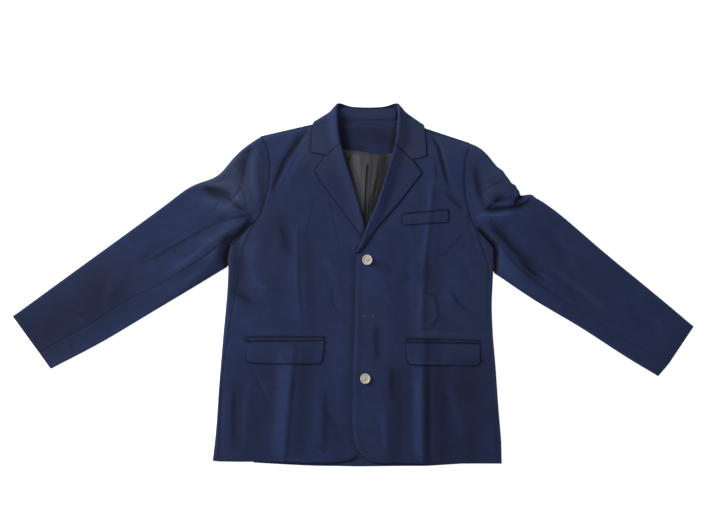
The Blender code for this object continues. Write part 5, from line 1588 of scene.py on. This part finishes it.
@dataclass
class Button:
    """A four-hole button, turned with a raised rim and a dished middle, sewn on with thread."""

    name: str
    x: float
    y: float
    radius: float = 10.4
    thickness: float = 3.4
    rim: float = 2.4
    rim_slope: float = 0.9
    dish: float = 1.0
    middle_share: float = 0.25
    middle_rise: float = 0.15
    rounding: float = 0.8
    hole_radius: float = 1.0
    hole_offset: float = 2.1
    drill_depth: float = 12.0
    thread_radius: float = 0.42
    thread_overlap: float = 0.7
    thread_shift: float = 0.45
    thread_rise: float = 0.25
    foot: float = 0.15
    foot_reach: float = 7.0
    base: float = 0.0

    def build(self, ground: Ground, finishes: Finishes) -> list[bpy.types.Object]:
        """Make the button and its thread.

        Args:
            ground: what it lies on.
            finishes: the materials.

        Returns:
            The button and the strands of its thread.
        """
        steps = (-self.foot_reach, 0.0, self.foot_reach)
        self.base = max(ground.top((self.x + dx) * MM, (self.y + dy) * MM) / MM
                        for dx in steps for dy in steps) + self.foot
        button = self.turned()
        self.drill(button)
        button.data.materials.append(finishes.button)
        make_active(button)
        bpy.ops.object.shade_smooth_by_angle(angle=BUTTON_SMOOTH)
        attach(button, BODY)
        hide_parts(self.name)
        return [button, *self.sew(finishes.thread_cream)]

    def turned(self) -> bpy.types.Object:
        """Turn the button's form.

        Returns:
            The button, with its place in its mesh.
        """
        deselect_all()
        bpy.ops.mesh.primitive_cylinder_add(
            vertices=64, radius=self.radius * MM, depth=self.thickness * MM, end_fill_type="NGON",
            location=(self.x * MM, self.y * MM, (self.base + self.thickness / 2) * MM))
        button = bpy.context.object
        button.name = button.data.name = self.name + "_resin"
        bpy.ops.object.transform_apply(location=True, rotation=True, scale=True)
        bpy.ops.object.mode_set(mode="EDIT")
        bpy.ops.mesh.select_mode(type="FACE")
        self.select_top(button)
        for thickness, depth in ((self.rim, 0.0), (self.rim_slope, -self.dish),
                                 (self.radius * self.middle_share, self.middle_rise)):
            bpy.ops.mesh.inset(thickness=thickness * MM, depth=depth * MM)
        bpy.ops.object.mode_set(mode="OBJECT")
        apply_modifier(button, "BEVEL", width=self.rounding * MM, segments=4, limit_method="ANGLE",
                       angle_limit=BUTTON_BEVEL)
        return button

    def select_top(self, button: bpy.types.Object) -> None:
        """Select the one flat face on the button's top, in edit mode.

        Args:
            button: the button.
        """
        form = bmesh.from_edit_mesh(button.data)
        top = (self.base + self.thickness) * MM
        for face in form.faces:
            face.select_set(abs(face.calc_center_median().z - top) < 1e-5 and face.normal.z > 0.9)
        bmesh.update_edit_mesh(button.data)

    def drill(self, button: bpy.types.Object) -> None:
        """Cut the four holes.

        Args:
            button: the button.
        """
        for dx, dy in ((1, 1), (-1, 1), (-1, -1), (1, -1)):
            deselect_all()
            bpy.ops.mesh.primitive_cylinder_add(
                vertices=20, radius=self.hole_radius * MM, depth=self.drill_depth * MM,
                location=((self.x + dx * self.hole_offset) * MM, (self.y + dy * self.hole_offset) * MM,
                          self.base * MM))
            cutter = bpy.context.object
            apply_modifier(button, "BOOLEAN", operation="DIFFERENCE", object=cutter)
            bpy.data.objects.remove(cutter, do_unlink=True)

    def sew(self, finish: bpy.types.Material) -> list[bpy.types.Object]:
        """Lay two bundles of thread from hole to hole.

        Args:
            finish: the thread's material.

        Returns:
            The strands.
        """
        strands = []
        top = self.base + self.thickness - self.dish + self.thread_rise
        half = (self.hole_offset + self.thread_overlap, self.thread_radius, self.thread_radius * 1.3)
        for row in (-self.hole_offset, self.hole_offset):
            for shift in (-self.thread_shift, self.thread_shift):
                stitch = strand((self.x * MM, (self.y + row + shift) * MM, top * MM), half, 12, 8)
                bpy.ops.object.shade_smooth()
                stitch.name = stitch.data.name = f"{self.name}_thread_{len(strands) + 1}"
                stitch.data.materials.append(finish)
                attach(stitch, BODY)
                strands.append(stitch)
        return strands


@dataclass
class Buttonhole:
    """A worked buttonhole: a slit with closely laid stitches round it and a bar at each end."""

    name: str
    x: float
    y: float
    half_length: float = 9.5
    stitch_half: float = 1.25
    stitch_radius: float = 0.3
    stitch_height: float = 0.32
    stitch_off: float = 0.1
    pitch: float = 0.62
    slit_half: float = 0.3
    slit_height: float = 0.18
    bar_radius: float = 0.55
    bar_off: float = 0.6
    bar_share: float = 1.7
    bar_height: float = 0.5
    rise: float = 0.05

    def build(self, ground: Ground, finishes: Finishes) -> list[bpy.types.Object]:
        """Make the slit as a strand of painted shade, the stitches along it and the bars.

        Args:
            ground: what it is worked in.
            finishes: the materials.

        Returns:
            The stitches, the slit's strand of painted shade and the bars, each as one piece.
        """
        off = self.stitch_half + self.stitch_off
        steps = range(int(2 * self.half_length / self.pitch) + 1)
        stitches = [(self.x - self.half_length + step * self.pitch, self.y + way * off)
                    for step in steps for way in (-1, 1)]
        bars = [(self.x + way * (self.half_length + self.bar_off), self.y) for way in (-1, 1)]
        half = (self.stitch_radius, self.stitch_half, self.stitch_height)
        return [
            self.worked("stitches", stitches, half, ground, finishes.thread_navy),
            # the slit is a near-black strand of painted shade
            self.worked("slit", [(self.x, self.y)], (self.half_length, self.slit_half, self.slit_height),
                        ground, finishes.shade),
            self.worked("bars", bars, (self.bar_radius, self.stitch_half * self.bar_share,
                                       self.bar_height), ground, finishes.thread_pale),
        ]

    def worked(self, part: str, places: list[tuple[float, float]], half: tuple[float, float, float],
               ground: Ground, finish: bpy.types.Material) -> bpy.types.Object:
        """Lay strands of one size and join them into one piece.

        Args:
            part: the end of the piece's name.
            places: the middle of each strand, in millimetres.
            half: half the strands' size along X, Y and Z, in millimetres.
            ground: what they lie on.
            finish: their material.

        Returns:
            The piece.
        """
        strands = [strand((x * MM, y * MM, ground.top(x * MM, y * MM) + self.rise * MM), half, 8, 6)
                   for x, y in places]
        make_active(*strands)
        if len(strands) > 1:
            bpy.ops.object.join()
        piece = strands[0]
        piece.name = piece.data.name = f"{self.name}_{part}"
        bpy.ops.object.shade_smooth()
        piece.data.materials.clear()
        piece.data.materials.append(finish)
        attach(piece, BODY)
        return piece


@dataclass
class Studio:
    """The pale floor, the soft lights and the camera that looks straight down."""

    view_x: float = 14.0
    view_y: float = 45.6
    field_width: float = 1476.0
    lens: float = 85.0
    sensor: float = 36.0
    clip_end: float = 20.0
    floor_size: float = 6.0
    floor_drop: float = 0.0002
    floor_glow: float = 0.75
    key_energy: float = 88.0
    key_place: tuple[float, float, float] = (-2.5, 1.2, 1.25)
    key_size: float = 1.1
    fill_energy: float = 10.0
    fill_place: tuple[float, float, float] = (0.9, 1.4, 2.6)
    fill_size: float = 2.4
    world: float = 0.30

    def build(self) -> None:
        """Lay the floor, hang the lights and set the camera."""
        self.floor()
        self.light("key", self.key_energy, self.key_place, self.key_size)
        self.light("fill", self.fill_energy, self.fill_place, self.fill_size)
        self.surroundings()
        self.camera()
        view = bpy.context.scene.view_settings
        view.view_transform = "Standard"
        view.look = "None"

    def floor(self) -> None:
        """Lay a plain pale floor just under the garment."""
        deselect_all()
        bpy.ops.mesh.primitive_plane_add(size=self.floor_size, location=(0.0, 0.0, -self.floor_drop))
        ground = bpy.context.object
        ground.name = "pale_floor"
        made, sheet, shader = new_material("pale_floor")
        sheet.feed(shader, {
            "Base Color": (0.93, 0.93, 0.93, 1.0), "Roughness": 0.9, "Specular IOR Level": 0.0,
            "Emission Color": (1.0, 1.0, 1.0, 1.0), "Emission Strength": self.floor_glow})
        ground.data.materials.append(made)

    def light(self, name: str, energy: float, place: tuple[float, float, float], size: float) -> None:
        """Hang a soft square light that faces the garment.

        Args:
            name: the light's name.
            energy: its power in watts.
            place: where it hangs, in metres.
            size: the length of its side, in metres.
        """
        lamp = bpy.data.lights.new(name, "AREA")
        lamp.energy = energy
        lamp.size = size
        holder = bpy.data.objects.new(name, lamp)
        holder.location = place
        holder.rotation_euler = (-Vector(place)).to_track_quat("-Z", "Y").to_euler()
        bpy.context.scene.collection.objects.link(holder)

    def surroundings(self) -> None:
        """Light the scene evenly from all round."""
        world = bpy.data.worlds.new("even_light")
        world.use_nodes = True
        NodeSheet(world.node_tree).feed(world.node_tree.nodes["Background"], {
            "Color": (1.0, 1.0, 1.0, 1.0), "Strength": self.world})
        bpy.context.scene.world = world

    def camera(self) -> None:
        """Look straight down at the garment, as the photograph does."""
        lens = bpy.data.cameras.new("camera")
        lens.lens = self.lens
        lens.sensor_width = self.sensor
        lens.clip_end = self.clip_end
        holder = bpy.data.objects.new("camera", lens)
        away = self.field_width * MM * self.lens / self.sensor
        holder.location = (self.view_x * MM, self.view_y * MM, away)
        bpy.context.scene.collection.objects.link(holder)
        bpy.context.scene.camera = holder


def report(pieces: list[bpy.types.Object]) -> list[bpy.types.Object]:
    """Log each piece and its faces, and hand the pieces on."""
    for piece in pieces:
        LOG.info("%s: %d faces", piece.name, len(piece.data.polygons))
    return pieces


def main() -> None:
    """Build the scene round the solids, from the surface up."""
    logging.basicConfig(level=logging.INFO, format="%(name)s: %(message)s")
    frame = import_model()
    nodes = frame["nodes"]
    Studio().build()
    finishes = Finishes()
    ground = Ground()
    report(Body(finishes, ground).build(nodes))
    report(Sleeves(finishes).build(nodes))
    # strips of turned-in cloth behind the armhole seams, coloured as painted shade
    for name, line in (("armhole_seam_shade_right", ARMHOLE_RIGHT), ("armhole_seam_shade_left", ARMHOLE_LEFT)):
        report([SeamAllowanceShadeStrip(name, line).build(finishes)])
    laid = report(CollarAndLapels(finishes, ground).build(nodes))
    laid += report(Pockets(finishes, ground).build(nodes))
    # painted contact shade on the panels round the collar, lapels and pockets
    ground.paint_contact_shade(laid, CONTACT_REACH, CONTACT_SHADE)
    report(Button("button_upper", 29.0, 51.0).build(ground, finishes))
    report(Button("button_lower", 25.0, -192.0).build(ground, finishes))
    report(Buttonhole("buttonhole", 31.5, -64.0).build(ground, finishes))


if __name__ == "__main__":
    main()
